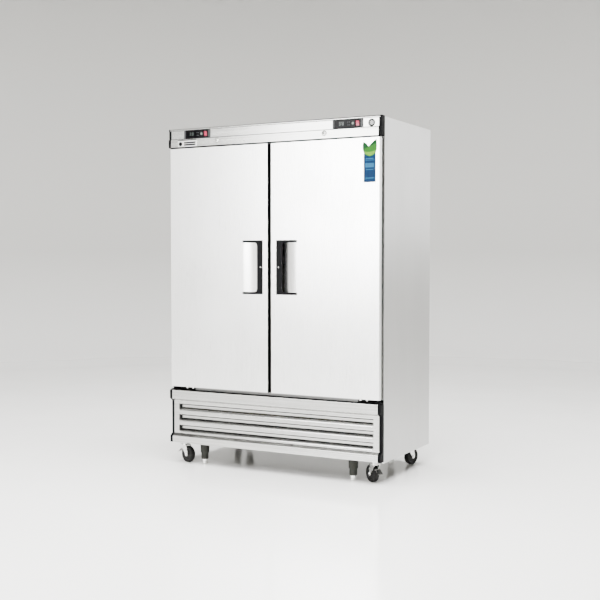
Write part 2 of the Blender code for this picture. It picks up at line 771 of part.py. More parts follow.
# ---------------------------------------------------------------- casters and feet
CROWN_LOW = 0.0935
CROWN_HIGH = CASTER_RACE - 0.0005


def caster_fork():
    """Crown, two cheeks and the axle, in the caster's own frame with the wheel trailing on +X."""
    cheek_y = 0.0150
    outline = [(-0.026, CROWN_HIGH - 0.004), (-0.027, 0.066), (-0.018, 0.060)]
    outline += arc((TRAIL, WHEEL_RADIUS), 0.010, 225, 395, 8)
    outline += [(0.026, CROWN_HIGH - 0.004)]
    fork = block((-0.026, -cheek_y - 0.0028, CROWN_LOW), (0.026, cheek_y + 0.0028, CROWN_LOW + 0.003))
    parts = [rod((0, 0, 0), 0.0235, CROWN_LOW + 0.001, CROWN_HIGH, sides=24)]
    for side in (-1, 1):
        inner, outer = sorted((side * cheek_y, side * (cheek_y + 0.0028)))
        parts.append(prism(outline, inner, outer, "Y"))
    parts.append(rod((TRAIL, 0, WHEEL_RADIUS), AXLE_RADIUS, -0.0200, 0.0200, "Y", 12))
    return union(fork, *parts)


def caster_wheel():
    """Tread and hub, turned about the axle."""
    outer = WHEEL_RADIUS / math.cos(math.pi / WHEEL_SIDES)
    bore = AXLE_RADIUS + 0.0006
    profile = [
        (bore, WHEEL_HALF),
        (0.012, WHEEL_HALF),
        (0.016, WHEEL_HALF - 0.004),
        (0.032, WHEEL_HALF - 0.004),
        (0.035, WHEEL_HALF),
        (outer - 0.003, WHEEL_HALF),
        (outer, WHEEL_HALF - 0.004),
    ]
    profile += [(radius, -height) for radius, height in reversed(profile)]
    return turned(profile, axis="Y", sides=WHEEL_SIDES, turn=math.pi / WHEEL_SIDES + math.pi / 2)


def brake_pedal():
    """A bent foot pedal, in its pivot's frame and pointing away from the wheel."""
    path = [(-0.003, 0.0015), (-0.011, -0.001), (-0.024, -0.015), (-0.033, -0.018)]
    lever = bent_sheet(path, 0.0022, -0.0135, 0.0135, "Y")
    return union(lever, rod((0, 0, 0), 0.0040, -0.0140, 0.0140, "Y", 12))


def casters():
    for name, x, depth, heading in CASTERS:
        swivel = empty(f"caster_swivel_{name}", (x, depth, 0), math.radians(heading), ASSEMBLY)
        place(caster_fork(), f"caster_fork_{name}", ZINC, swivel)
        axle = empty(f"caster_axle_{name}", (TRAIL, 0, WHEEL_RADIUS), parent=swivel)
        place(caster_wheel(), f"caster_wheel_{name}", TYRE, axle, round_edges=True)
        if name.startswith("front"):
            pivot_x, pivot_z = PEDAL_PIVOT
            pivot = empty(f"pedal_pivot_{name}", (pivot_x, 0, pivot_z), parent=swivel)
            place(brake_pedal(), f"brake_pedal_{name}", ZINC, pivot)


def leg_feet():
    """Each foot screws up into its leg's sleeve."""
    foot_radius, stem_radius, chamfer = 0.0165, 0.0070, 0.002
    profile = [
        (0, 0.088),
        (stem_radius, 0.088),
        (stem_radius, FOOT_TOP),
        (foot_radius, FOOT_TOP),
        (foot_radius, FOOT_CLEAR + chamfer),
        (foot_radius - chamfer, FOOT_CLEAR),
        (0, FOOT_CLEAR),
    ]
    for name, x, depth in LEGS:
        pivot = empty(f"foot_screw_{name}", (x, depth, 0), parent=ASSEMBLY)
        place(turned(profile, sides=16), f"leg_foot_{name}", ZINC, pivot, round_edges=True)


# ---------------------------------------------------------------- refrigeration
def fan_blade(radius, hub_radius, bore, depth, blades, pitch):
    """Hub and pitched blades about the Y axis."""
    hub = turned(
        [(bore, depth / 2), (hub_radius, depth / 2), (hub_radius, -depth / 2), (bore, -depth / 2)],
        axis="Y",
        sides=12,
    )
    inner, width, thick = hub_radius * 0.7, radius * 0.55, 0.0016
    outline = [(inner, -width * 0.30), (inner, width * 0.30)]
    outline += [(radius * 0.80, width * 0.62), (radius * 0.97, width * 0.35)]
    outline += [(radius, 0.0), (radius * 0.90, -width * 0.45)]
    vanes = []
    for n in range(blades):
        vane = prism(outline, -thick / 2, thick / 2, "Y")
        vane.data.transform(Matrix.Rotation(pitch, 4, "X"))
        vane.data.transform(Matrix.Rotation(2 * math.pi * n / blades, 4, "Y"))
        vanes.append(vane)
    return union(hub, *vanes)


def condensing_units():
    """Compressor, condenser coil and fan motor on one base plate, with the fan on the motor's shaft."""
    fan_x, fan_depth, fan_z = CONDENSER_FAN
    base_top = PAN_FLOOR + 0.005
    can_profile = [
        (0, 0.302),
        (0.040, 0.298),
        (0.066, 0.280),
        (0.075, 0.255),
        (0.075, 0.168),
        (0.066, 0.142),
        (0.040, base_top - 0.001),
        (0, base_top - 0.001),
    ]
    for name, side in SIDES:
        x = side * fan_x
        unit = side_block((0.120, 0.066, PAN_FLOOR), (0.580, 0.600, base_top), side)
        parts = [
            turned(can_profile, (side * 0.42, 0.500, 0), sides=22),
            side_block((0.130, 0.070, base_top - 0.001), (0.570, 0.115, 0.385), side),
            rod((x, 0, fan_z), 0.032, fan_depth + 0.017, 0.225, "Y"),
            rod((x, 0, fan_z), 0.0040, fan_depth - 0.005, fan_depth + 0.020, "Y", 12),
            block((x - 0.020, 0.180, base_top - 0.001), (x + 0.020, 0.215, fan_z - 0.020)),
        ]
        place(union(unit, *parts), f"condensing_unit_{name}", COMPRESSOR, ASSEMBLY)
        pivot = empty(f"condenser_fan_axis_{name}", (x, fan_depth, fan_z), parent=ASSEMBLY)
        blade = fan_blade(0.085, 0.014, 0.0046, 0.020, 5, math.radians(24))
        place(blade, f"condenser_fan_{name}", ALUMINIUM, pivot)


def evaporators():
    """A housing under each compartment's ceiling, with its coil and fan motor, and the fan."""
    fan_x, fan_depth, fan_z = EVAPORATOR_FAN
    ceiling, wall = CELL_TOP - GAP, 0.002
    low, high = (0.075, 0.300, 1.515), (0.535, 0.592, ceiling)
    for name, side in SIDES:
        x = side * fan_x
        inside = side_block(
            (low[0] + wall, low[1] + wall, low[2] + wall),
            (high[0] - wall, high[1] - wall, ceiling + 0.02),
            side,
        )
        mouth = rod((x, 0, fan_z), 0.068, 0.290, 0.310, "Y", 28)
        intake = side_block((0.120, 0.450, 1.500), (0.490, 0.570, 1.530), side)
        housing = cut(side_block(low, high, side), inside, mouth, intake)
        parts = [
            side_block((low[0] + wall / 2, 0.430, 1.545), (high[0] - wall / 2, 0.560, 1.655), side),
            rod((x, 0, fan_z), 0.025, fan_depth + 0.014, 0.390, "Y"),
            rod((x, 0, fan_z), 0.0030, fan_depth - 0.004, fan_depth + 0.018, "Y", 12),
            block((x - 0.015, 0.355, low[2] + wall / 2), (x + 0.015, 0.435, fan_z)),
        ]
        place(union(housing, *parts), f"evaporator_{name}", WHITE, ASSEMBLY)
        pivot = empty(f"evaporator_fan_axis_{name}", (x, fan_depth, fan_z), parent=ASSEMBLY)
        blade = fan_blade(0.062, 0.011, 0.0036, 0.016, 5, math.radians(22))
        place(blade, f"evaporator_fan_{name}", BLACK, pivot)


# ---------------------------------------------------------------- shelves
def shelves():
    """Flat grids of wires, cut from a plate: a bar between each two slots."""
    low_x, high_x = CELL_IN + 0.010, CELL_OUT - 0.010
    slots, wire, rim = 17, 0.005, 0.007
    pitch = (high_x - low_x - 2 * rim + wire) / slots
    for name, side in SIDES:
        for place_name, level in zip(("lower", "middle", "upper"), SHELF_LEVELS):
            shelf = side_block((low_x, SHELF_FRONT, level), (high_x, SHELF_BACK, level + SHELF_THICK), side)
            holes = []
            for column in range(slots):
                x = low_x + rim + column * pitch
                far = (x + pitch - wire, SHELF_BACK - rim, level + 0.02)
                holes.append(side_block((x, SHELF_FRONT + rim, level - 0.01), far, side))
            place(cut(shelf, together(holes)), f"shelf_{place_name}_{name}", WIRE, ASSEMBLY)


# ---------------------------------------------------------------- the whole object
side_panels()
back_panel()
top_panel()
base_pan()
face_frame()
liners_and_insulation()
header()
controllers()
header_locks()
grille()
lower_hinges()
doors()
casters()
leg_feet()
condensing_units()
evaporators()
shelves()
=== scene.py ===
import json
import math

import bmesh
import bpy
from mathutils import Matrix, Vector

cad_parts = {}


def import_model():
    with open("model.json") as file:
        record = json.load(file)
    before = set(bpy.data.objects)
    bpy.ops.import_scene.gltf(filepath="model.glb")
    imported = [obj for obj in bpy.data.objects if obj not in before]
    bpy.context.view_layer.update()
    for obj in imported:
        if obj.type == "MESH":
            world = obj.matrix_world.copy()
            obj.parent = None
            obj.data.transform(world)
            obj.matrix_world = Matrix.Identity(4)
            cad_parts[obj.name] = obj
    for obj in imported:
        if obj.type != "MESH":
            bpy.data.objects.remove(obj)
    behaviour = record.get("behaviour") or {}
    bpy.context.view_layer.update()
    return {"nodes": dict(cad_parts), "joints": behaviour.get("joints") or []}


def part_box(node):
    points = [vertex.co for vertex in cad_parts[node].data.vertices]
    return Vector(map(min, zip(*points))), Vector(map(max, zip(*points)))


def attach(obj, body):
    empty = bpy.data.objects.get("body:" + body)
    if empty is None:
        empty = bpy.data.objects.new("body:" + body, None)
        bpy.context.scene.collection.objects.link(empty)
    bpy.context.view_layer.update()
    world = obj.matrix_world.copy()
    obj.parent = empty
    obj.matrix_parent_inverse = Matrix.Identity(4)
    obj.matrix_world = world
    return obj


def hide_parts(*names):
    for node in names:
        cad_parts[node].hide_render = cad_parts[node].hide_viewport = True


# Looks for the two-door reach-in refrigerator. Metres, +Z up, the doors face -Y.

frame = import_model()
nodes = frame["nodes"]
joints = {joint["name"]: joint for joint in frame["joints"]}

SIDES = (("left", -1), ("right", 1))
CORNERS = ("front_left", "front_right", "rear_left", "rear_right")

# ---------------------------------------------------------------- camera
CAMERA_AT = (2.653, -4.907, 1.124)
CAMERA_TURN = math.radians(28.352)  # to the right of the cabinet's front
CAMERA_DIP = math.radians(2.353)
CAMERA_LENS = 61.4

camera_data = bpy.data.cameras.new("camera")
camera_data.lens = CAMERA_LENS
camera_data.sensor_width = 36
camera = bpy.data.objects.new("camera", camera_data)
camera.location = CAMERA_AT
camera.rotation_euler = (math.pi / 2 - CAMERA_DIP, 0, CAMERA_TURN)
bpy.context.scene.collection.objects.link(camera)
bpy.context.scene.camera = camera


# ---------------------------------------------------------------- materials
class Look:
    """A material under construction: its nodes, its shader and the object's own coordinates."""

    def __init__(self, name, colour, roughness, metallic=0.0, **constants):
        self.material = bpy.data.materials.new(name)
        self.material.use_nodes = True
        self.tree = self.material.node_tree
        self.shader = self.tree.nodes["Principled BSDF"]
        self.colour = colour
        self.set_input("Base Color", (*colour, 1))
        self.set_input("Roughness", roughness)
        self.set_input("Metallic", metallic)
        for socket, value in constants.items():
            self.set_input(socket.replace("_", " "), value)
        self.place = self.tree.nodes.new("ShaderNodeTexCoord").outputs["Object"]
        self.height = None

    def set_input(self, socket, value):
        self.shader.inputs[socket].default_value = value

    def link(self, output, socket):
        self.tree.links.new(output, socket)

    def drive(self, socket, output):
        """Feeds an output to one of the shader's sockets."""
        self.link(output, self.shader.inputs[socket])

    def noise(self, scale, stretch=(1, 1, 1), detail=3.0, roughness=0.55):
        """Noise from 0 to 1, with features of 1 / (scale * stretch) metres along each axis."""
        mapping = self.tree.nodes.new("ShaderNodeMapping")
        mapping.inputs["Scale"].default_value = stretch
        self.link(self.place, mapping.inputs["Vector"])
        made = self.tree.nodes.new("ShaderNodeTexNoise")
        made.inputs["Scale"].default_value = scale
        made.inputs["Detail"].default_value = detail
        made.inputs["Roughness"].default_value = roughness
        self.link(mapping.outputs["Vector"], made.inputs["Vector"])
        return made.outputs["Fac"]

    def spread(self, value, low, high, start=0.35, end=0.65):
        """The value's middle range, start to end, mapped onto low to high."""
        made = self.tree.nodes.new("ShaderNodeMapRange")
        made.inputs["From Min"].default_value = start
        made.inputs["From Max"].default_value = end
        made.inputs["To Min"].default_value = low
        made.inputs["To Max"].default_value = high
        self.link(value, made.inputs["Value"])
        return made.outputs["Result"]

    def mix(self, factor, first, second):
        """Mixes two colours, each an RGB tuple or an output."""
        made = self.tree.nodes.new("ShaderNodeMix")
        made.data_type = "RGBA"
        self.link(factor, made.inputs["Factor"])
        for socket, value in zip((made.inputs[6], made.inputs[7]), (first, second)):
            if isinstance(value, tuple):
                socket.default_value = (*value, 1)
            else:
                self.link(value, socket)
        return made.outputs[2]

    def combine(self, operation, first, second):
        """A sum, difference or product of two values."""
        made = self.tree.nodes.new("ShaderNodeMath")
        made.operation = operation
        self.link(first, made.inputs[0])
        self.link(second, made.inputs[1])
        return made.outputs["Value"]

    def tint(self, factor, darkest):
        """Varies the base colour between a darker shade and itself."""
        dark = tuple(part * darkest for part in self.colour)
        self.drive("Base Color", self.mix(factor, dark, self.colour))

    def bump(self, height, distance, strength=1.0):
        """Adds relief of the given depth in metres on top of any relief already there."""
        made = self.tree.nodes.new("ShaderNodeBump")
        made.inputs["Distance"].default_value = distance
        made.inputs["Strength"].default_value = strength
        self.link(height, made.inputs["Height"])
        if self.height:
            self.link(self.height, made.inputs["Normal"])
        self.height = made.outputs["Normal"]
        self.drive("Normal", self.height)

    def below(self, axis, level, blur=0.0002, under=1, over=0):
        """One value where the object's coordinate is under the level, another above it."""
        split = self.tree.nodes.new("ShaderNodeSeparateXYZ")
        self.link(self.place, split.inputs["Vector"])
        return self.spread(split.outputs[axis], under, over, level - blur, level + blur)


def brushed(name, colour, roughness, grain, streaks, contrast=0.90, wave=0.00006):
    """Stainless sheet: hairlines along one axis, soft streaks and faint handling marks."""
    look = Look(name, colour, roughness, 1.0)
    hair = look.noise(1, grain, 5, 0.7)
    marks = look.noise(2.3, (1, 1, 1), 4, 0.6)
    look.tint(look.spread(look.noise(1, streaks, 3, 0.6), 0, 1), contrast)
    grained = look.spread(hair, roughness - 0.05, roughness + 0.05)
    look.drive("Roughness", look.combine("ADD", grained, look.spread(marks, -0.02, 0.03)))
    look.bump(hair, 0.00004, 0.5)
    look.bump(marks, wave, 0.10)
    return look.material


def moulded(name, colour, roughness, grain=900, depth=0.00003, shine=0.10):
    """Moulded plastic or rubber: fine spark-eroded grain and slight unevenness of gloss."""
    look = Look(name, colour, roughness, 0.0, Specular_IOR_Level=shine)
    broad = look.noise(14)
    look.tint(look.spread(broad, 0, 1), 0.80)
    look.drive("Roughness", look.spread(broad, roughness - 0.05, roughness + 0.07))
    look.bump(look.noise(grain, detail=2), depth, 0.6)
    return look.material


def plated(name, colour, roughness):
    """Zinc or chrome plate with soft blotches in its gloss."""
    look = Look(name, colour, roughness, 1.0)
    cloud = look.noise(60, detail=4)
    look.tint(look.spread(cloud, 0, 1), 0.78)
    look.drive("Roughness", look.spread(cloud, roughness - 0.06, roughness + 0.10))
    look.bump(look.noise(400), 0.00002, 0.4)
    return look.material


def galvanised_sheet(name):
    """Dull galvanised steel with its crystal spangle."""
    look = Look(name, (0.56, 0.57, 0.58), 0.42, 0.70)
    spangle = look.tree.nodes.new("ShaderNodeTexVoronoi")
    spangle.inputs["Scale"].default_value = 70
    look.link(look.place, spangle.inputs["Vector"])
    shade = look.tree.nodes.new("ShaderNodeRGBToBW")
    look.link(spangle.outputs["Color"], shade.inputs["Color"])
    look.tint(shade.outputs["Val"], 0.80)
    look.drive("Roughness", look.spread(shade.outputs["Val"], 0.34, 0.52, 0, 1))
    look.bump(look.noise(5), 0.0006, 0.2)
    return look.material


def glowing(name, colour, strength):
    """A lens or a display digit lit from behind, a little unevenly."""
    look = Look(name, colour, 0.25, 0.0, Emission_Strength=strength)
    dim = tuple(part * 0.8 for part in colour)
    look.drive("Emission Color", look.mix(look.spread(look.noise(120), 0, 1), colour, dim))
    look.tint(look.spread(look.noise(40), 0, 1), 0.85)
    return look.material


def rocker_cap(low, high, rim=0.0028, blur=0.0006):
    """A red cap, darker in a band round its edges."""
    look = Look("rocker_cap", (0.34, 0.020, 0.058), 0.28, Specular_IOR_Level=0.25)
    inside = []
    for axis, start, end in (("X", low.x, high.x), ("Z", low.z, high.z)):
        before_end = look.below(axis, end - rim, blur)
        inside.append(look.combine("SUBTRACT", before_end, look.below(axis, start + rim, blur)))
    dull = tuple(part * 0.85 for part in look.colour)
    cap = look.mix(look.spread(look.noise(40), 0, 1), dull, look.colour)
    rim_red = (0.035, 0.004, 0.008)
    look.drive("Base Color", look.mix(look.combine("MULTIPLY", *inside), rim_red, cap))
    look.drive("Roughness", look.spread(look.noise(90), 0.22, 0.34))
    look.bump(look.noise(1200), 0.00001, 0.6)
    return look.material


def foam():
    """Rigid foam: yellowish, with a rough cut skin."""
    look = Look("insulation_foam", (0.80, 0.70, 0.46), 0.90)
    look.tint(look.spread(look.noise(30), 0, 1), 0.80)
    look.bump(look.noise(300, detail=5), 0.0006, 0.8)
    return look.material


def condensing_paint(coil_back, base_top):
    """Black painted compressor and motor, with bare fins on the coil that fills the front."""
    look = Look("condensing_unit_finish", (0.014, 0.014, 0.015), 0.32)
    above_base = look.below("Z", base_top, under=0, over=1)
    coil = look.combine("MULTIPLY", look.below("Y", coil_back), above_base)
    wave = look.tree.nodes.new("ShaderNodeTexWave")
    wave.inputs["Scale"].default_value = 70
    look.link(look.place, wave.inputs["Vector"])
    fins = look.mix(wave.outputs["Fac"], (0.05, 0.05, 0.05), (0.55, 0.56, 0.57))
    paint = look.mix(look.spread(look.noise(30), 0, 1), (0.010, 0.010, 0.011), look.colour)
    look.drive("Base Color", look.mix(coil, paint, fins))
    look.drive("Metallic", coil)
    look.drive("Roughness", look.spread(look.noise(90), 0.26, 0.42))
    look.bump(look.noise(500), 0.00005, 0.5)
    return look.material


def door_inner(rim_back):
    """White inner pan with a black edge profile in front of the given depth; the black is partly
    painted shade for the gaps round the door.
    """
    look = Look("door_inner_pan", (0.80, 0.81, 0.82), 0.38)
    white = look.mix(look.spread(look.noise(14), 0, 1), (0.70, 0.71, 0.72), look.colour)
    look.drive("Base Color", look.mix(look.below("Y", rim_back), white, (0.006, 0.006, 0.006)))
    look.drive("Roughness", look.spread(look.noise(20), 0.33, 0.46))
    look.bump(look.noise(500), 0.00004, 0.6)
    return look.material


HAIR = 1400  # hairlines per metre across the grain
UPRIGHT_GRAIN = (HAIR, HAIR, 9)
LEVEL_GRAIN = (9, HAIR, HAIR)
BAND_STREAKS = (1.4, 150, 150)

# The door, side, band and face steels are one stainless sheet. The darker base colours of the side
# panels, the header and grille bands and the face frame are painted shade, darkest on the face
# frame behind the doors.
STAINLESS = brushed(
    "door_steel", (0.86, 0.86, 0.855), 0.30, UPRIGHT_GRAIN, (9, 9, 1.2), 0.97, 0.00001
)
SHADED_SIDE_STEEL = brushed("side_steel_shaded", (0.50, 0.50, 0.495), 0.34, UPRIGHT_GRAIN, (7, 7, 0.9), 0.95)
SHADED_BAND_STEEL = brushed("band_steel_shaded", (0.51, 0.51, 0.497), 0.24, LEVEL_GRAIN, BAND_STREAKS, 0.78)
SHADED_FACE_STEEL = brushed("face_steel_shaded", (0.24, 0.24, 0.235), 0.33, LEVEL_GRAIN, (2, 90, 90), 0.85)
GALVANISED = galvanised_sheet("galvanised_steel")
ZINC = plated("zinc_plate", (0.76, 0.76, 0.74), 0.24)
BRIGHT_ZINC = plated("bright_zinc", (0.86, 0.86, 0.84), 0.16)
PEDAL_ZINC = plated("pedal_zinc", (0.33, 0.33, 0.32), 0.26)
LOCK_RING = plated("lock_ring_plate", (0.30, 0.30, 0.29), 0.30)
SATIN_ALUMINIUM = plated("satin_aluminium", (0.78, 0.78, 0.77), 0.34)
# Dark paint, made darker still as painted shade under the cabinet.
DARK_PAINT_AND_SHADE = moulded("dark_paint", (0.020, 0.020, 0.019), 0.50, 300, 0.00005)
BLACK = moulded("black_plastic", (0.0030, 0.0030, 0.0034), 0.48, shine=0.03)
GRIP_BLACK = moulded("grip_black", (0.0040, 0.0040, 0.0044), 0.42, 1300, shine=0.035)
# Black for the seals and the filter, and for the strips that paint the shade in the door seam and
# the header gap.
SEAL_AND_SHADE_BLACK = moulded("seal_and_shade_black", (0.0015, 0.0015, 0.0015), 0.70, 700, shine=0.02)
RUBBER = moulded("gasket_rubber", (0.0050, 0.0050, 0.0050), 0.70, 800, shine=0.05)
TREAD = moulded("wheel_tread", (0.0090, 0.0090, 0.0085), 0.55, 500, 0.00008)
SLEEVE_GREY = moulded("leg_sleeve", (0.026, 0.027, 0.023), 0.48, 600, 0.00006)
HUB_GREY = moulded("wheel_hub", (0.013, 0.013, 0.0125), 0.42)
FAN_BLACK = moulded("fan_black", (0.015, 0.015, 0.016), 0.40)
BEZEL_BLACK = moulded("bezel_black", (0.0060, 0.0060, 0.0064), 0.30, 1600, 0.00001, 0.06)
BEZEL_GREY = moulded("bezel_grey", (0.045, 0.045, 0.047), 0.36, 1600, 0.00001)
WINDOW_BLACK = moulded("display_window", (0.0015, 0.0015, 0.0020), 0.12, 1600, 0.000004, 0.05)
MARK_WHITE = moulded("mark_white", (0.80, 0.80, 0.80), 0.45)
MARK_BLACK = moulded("mark_black", (0.0060, 0.0060, 0.0064), 0.45, shine=0.04)
LINER_WHITE = moulded("liner_white", (0.80, 0.81, 0.82), 0.38, 500, 0.00004)
COATED_WIRE = moulded("coated_wire", (0.72, 0.73, 0.73), 0.32, 700)
PRINT = (0.34, 1500, 0.00001, 0.04)  # the label film's roughness, grain, depth and shine
LABEL_GREEN = moulded("label_green", (0.016, 0.095, 0.010), *PRINT)
LABEL_DEEP_GREEN = moulded("label_deep_green", (0.002, 0.036, 0.008), *PRINT)
LABEL_LIME = moulded("label_lime", (0.085, 0.21, 0.018), *PRINT)
LABEL_BLUE = moulded("label_blue", (0.0012, 0.016, 0.050), *PRINT)
LABEL_PALE = moulded("label_pale", (0.012, 0.080, 0.160), *PRINT)
DIGIT = glowing("display_digit", (0.05, 0.06, 0.055), 0.40)
LAMP_LENS = glowing("status_lamp", (0.13, 0.16, 0.135), 0.25)
LIGHT_LENS = glowing("interior_lamp_lens", (0.85, 0.87, 0.85), 0.25)


# ---------------------------------------------------------------- finishes of the frame's pieces
def even_flats(piece, keep_sharp):
    """Keeps the piece's flat faces flat in the light beside its rounded edges."""
    even = piece.modifiers.new("even", "WEIGHTED_NORMAL")
    even.mode = "FACE_AREA"
    even.weight = 100
    even.keep_sharp = keep_sharp


def dress(node, look, bevel=0.0):
    """Gives a CAD node its finish, and softens its edges by the given width."""
    piece = nodes[node]
    piece.data.materials.clear()
    piece.data.materials.append(look)
    weld = piece.modifiers.new("weld", "WELD")
    weld.merge_threshold = 0.00001
    piece.data.shade_smooth()
    if not bevel:
        piece.data.set_sharp_from_angle(angle=math.radians(40))
        return
    edge = piece.modifiers.new("edge", "BEVEL")
    edge.width = bevel
    edge.segments = 2
    edge.limit_method = "ANGLE"
    edge.angle_limit = math.radians(35)
    even_flats(piece, False)


DOOR_EDGE_PROFILE_AND_SHADE = 0.0365  # from the door's front to the back of its black edge profile, which is partly painted shade
COIL_DEPTH, BASE_PLATE = 0.050, 0.0055  # of a condensing unit

unit_low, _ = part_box("condensing_unit_right")
inner_pan = door_inner(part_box("door_skin_right")[0].y + DOOR_EDGE_PROFILE_AND_SHADE)
unit_paint = condensing_paint(unit_low.y + COIL_DEPTH, unit_low.z + BASE_PLATE)
PAIRED = {
    "side_panel": (SHADED_SIDE_STEEL, 0.0006),
    "door_skin": (STAINLESS, 0.0007),
    "door_liner": (inner_pan, 0.0008),
    "door_gasket": (RUBBER, 0.0018),
    "door_grip": (GRIP_BLACK, 0.0006),
    "header_end_cap": (BLACK, 0.0006),
    "grille_end_cap": (BLACK, 0.0006),
    "controller": (BEZEL_BLACK, 0.0007),
    "header_lock": (ZINC, 0),
    "hinge_bracket": (BLACK, 0.0005),
    "liner": (LINER_WHITE, 0.0006),
    "evaporator": (LINER_WHITE, 0.0008),
    "evaporator_fan": (FAN_BLACK, 0),
    "condensing_unit": (unit_paint, 0),
    "condenser_fan": (SATIN_ALUMINIUM, 0),
}
for name, _ in SIDES:
    for node, (look, bevel) in PAIRED.items():
        dress(f"{node}_{name}", look, bevel)
    dress(f"rocker_switch_{name}", rocker_cap(*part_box(f"rocker_switch_{name}")), 0.0008)
    dress(f"brake_pedal_front_{name}", PEDAL_ZINC, 0.0004)
dress("header_panel", SHADED_BAND_STEEL, 0.0006)
dress("grille_panel", SHADED_BAND_STEEL, 0.0005)
dress("face_frame", SHADED_FACE_STEEL, 0.0004)
dress("back_panel", GALVANISED, 0.0003)
dress("top_panel", GALVANISED, 0.0004)
dress("insulation", foam())
dress("badge_plate", SATIN_ALUMINIUM, 0.0005)
for corner in CORNERS:
    dress(f"caster_fork_{corner}", ZINC, 0.0004)


# ---------------------------------------------------------------- building added pieces
AS_DRAWN = Matrix.Identity(4)
TO_FRONT = Matrix.Rotation(math.pi / 2, 4, "X")  # a turned shape's top faces -Y
TO_BACK = Matrix.Rotation(-math.pi / 2, 4, "X")
UPSIDE_DOWN = Matrix.Rotation(math.pi, 4, "X")


def enlist(piece, body, replaced=()):
    """Makes the object a piece that rides on the body."""
    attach(piece, body)
    if replaced:
        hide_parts(*replaced)


def object_from(bm, name, look, smooth=None):
    """Turns the bmesh into an object, with sharp edges over the smooth angle if one is given."""
    mesh = bpy.data.meshes.new(name)
    bm.to_mesh(mesh)
    bm.free()
    mesh.materials.append(look)
    mesh.shade_smooth()
    if smooth:
        mesh.set_sharp_from_angle(angle=math.radians(smooth))
    made = bpy.data.objects.new(name, mesh)
    bpy.context.scene.collection.objects.link(made)
    return made


def piece_from(bm, name, look, body, replaced=(), smooth=40, even=False):
    """Turns the bmesh into a piece; even keeps its flats flat in the light."""
    bmesh.ops.recalc_face_normals(bm, faces=bm.faces)
    piece = object_from(bm, name, look, smooth)
    if even:
        even_flats(piece, True)
    enlist(piece, body, replaced)


def rounded_outline(half_x, half_z, radius, steps=6):
    """Corner points of a rounded rectangle, about the origin."""
    points = []
    for turn, (x, z) in enumerate(((1, 1), (-1, 1), (-1, -1), (1, -1))):
        for n in range(steps + 1):
            angle = math.pi / 2 * (turn + n / steps)
            across = x * (half_x - radius) + radius * math.cos(angle)
            points.append((across, z * (half_z - radius) + radius * math.sin(angle)))
    return points


def add_slab(bm, outline, thickness, where, facing=AS_DRAWN, edge=0.0):
    """An outline in X and Z with a thickness towards -Y, turned by facing and moved to where."""
    bottom = [bm.verts.new((x, 0, z)) for x, z in outline]
    grown = bmesh.ops.extrude_face_region(bm, geom=[bm.faces.new(bottom)])
    top = [item for item in grown["geom"] if isinstance(item, bmesh.types.BMVert)]
    bmesh.ops.translate(bm, verts=top, vec=(0, -thickness, 0))
    if edge:
        rim = [e for e in bm.edges if e.verts[0] in top and e.verts[1] in top]
        made = bmesh.ops.bevel(bm, geom=rim, offset=edge, segments=2, affect="EDGES")
        top = list({vert for vert in top if vert.is_valid} | set(made["verts"]))
    moved = [vert for vert in set(bottom) | set(top) if vert.is_valid]
    bmesh.ops.transform(bm, matrix=Matrix.Translation(where) @ facing, verts=moved)


def add_turned(bm, profile, where, turn=AS_DRAWN, sides=48):
    """A closed profile of (radius, height) points, spun about Z, then turned and moved."""
    before = set(bm.verts)
    points = [bm.verts.new((radius, 0, height)) for radius, height in profile]
    pairs = list(zip(points, points[1:]))
    if profile[0][0] > 0:
        pairs.append((points[-1], points[0]))
    edges = [bm.edges.new(pair) for pair in pairs]
    whole = {"angle": 2 * math.pi, "steps": sides, "axis": (0, 0, 1), "cent": (0, 0, 0)}
    bmesh.ops.spin(bm, geom=points + edges, **whole)
    made = [vert for vert in bm.verts if vert not in before]
    bmesh.ops.remove_doubles(bm, verts=made, dist=1e-6)
    made = [vert for vert in bm.verts if vert not in before]
    bmesh.ops.transform(bm, matrix=Matrix.Translation(where) @ turn, verts=made)


def add_box(bm, low, high, edge=0.0):
    """A box with its edges rounded by the given width."""
    made = bmesh.ops.create_cube(bm, size=1)["verts"]
    low, high = Vector(low), Vector(high)
    matrix = Matrix.Translation((low + high) / 2) @ Matrix.Diagonal((*(high - low), 1))
    bmesh.ops.transform(bm, matrix=matrix, verts=made)
    if edge:
        edges = list({side for vert in made for side in vert.link_edges})
        bmesh.ops.bevel(bm, geom=edges, offset=edge, segments=2, affect="EDGES")


def dome_profile(radius, height, flange=0.0):
    """Half outline of a domed head, standing on Z = 0."""
    points = [(0, 0), (radius + flange, 0)]
    points += [(radius + flange, height * 0.18), (radius, height * 0.30)]
    for n in range(1, 6):
        angle = math.pi / 2 * n / 6
        points.append((radius * math.cos(angle), height * (0.30 + 0.70 * math.sin(angle))))
    return points + [(0, height)]


def mirrored(profile):
    """A half profile followed by its own image below Z = 0."""
    return profile + [(radius, -height) for radius, height in reversed(profile)]


def add_screw(bm, where, turn, radius, height):
    """A domed screw head with a raised cross."""
    add_turned(bm, dome_profile(radius, height, radius * 0.06), where, turn, 24)
    long, wide, deep = radius * 0.95, radius * 0.20, height * 0.35
    bar = Matrix.Translation((0, 0, height - deep * 0.42)) @ Matrix.Diagonal((long, wide, deep, 1))
    for quarter in (0, 1):
        made = bmesh.ops.create_cube(bm, size=1)["verts"]
        place = Matrix.Translation(where) @ turn @ Matrix.Rotation(quarter * math.pi / 2, 4, "Z")
        bmesh.ops.transform(bm, matrix=place @ bar, verts=made)


def screws(name, places, turn, radius, height, body, look=BRIGHT_ZINC):
    bm = bmesh.new()
    for where in places:
        add_screw(bm, where, turn, radius, height)
    piece_from(bm, name, look, body)


def slab_piece(name, outline, thickness, where, look, body, facing=AS_DRAWN, edge=0.0003):
    bm = bmesh.new()
    add_slab(bm, outline, thickness, where, facing, edge)
    piece_from(bm, name, look, body)


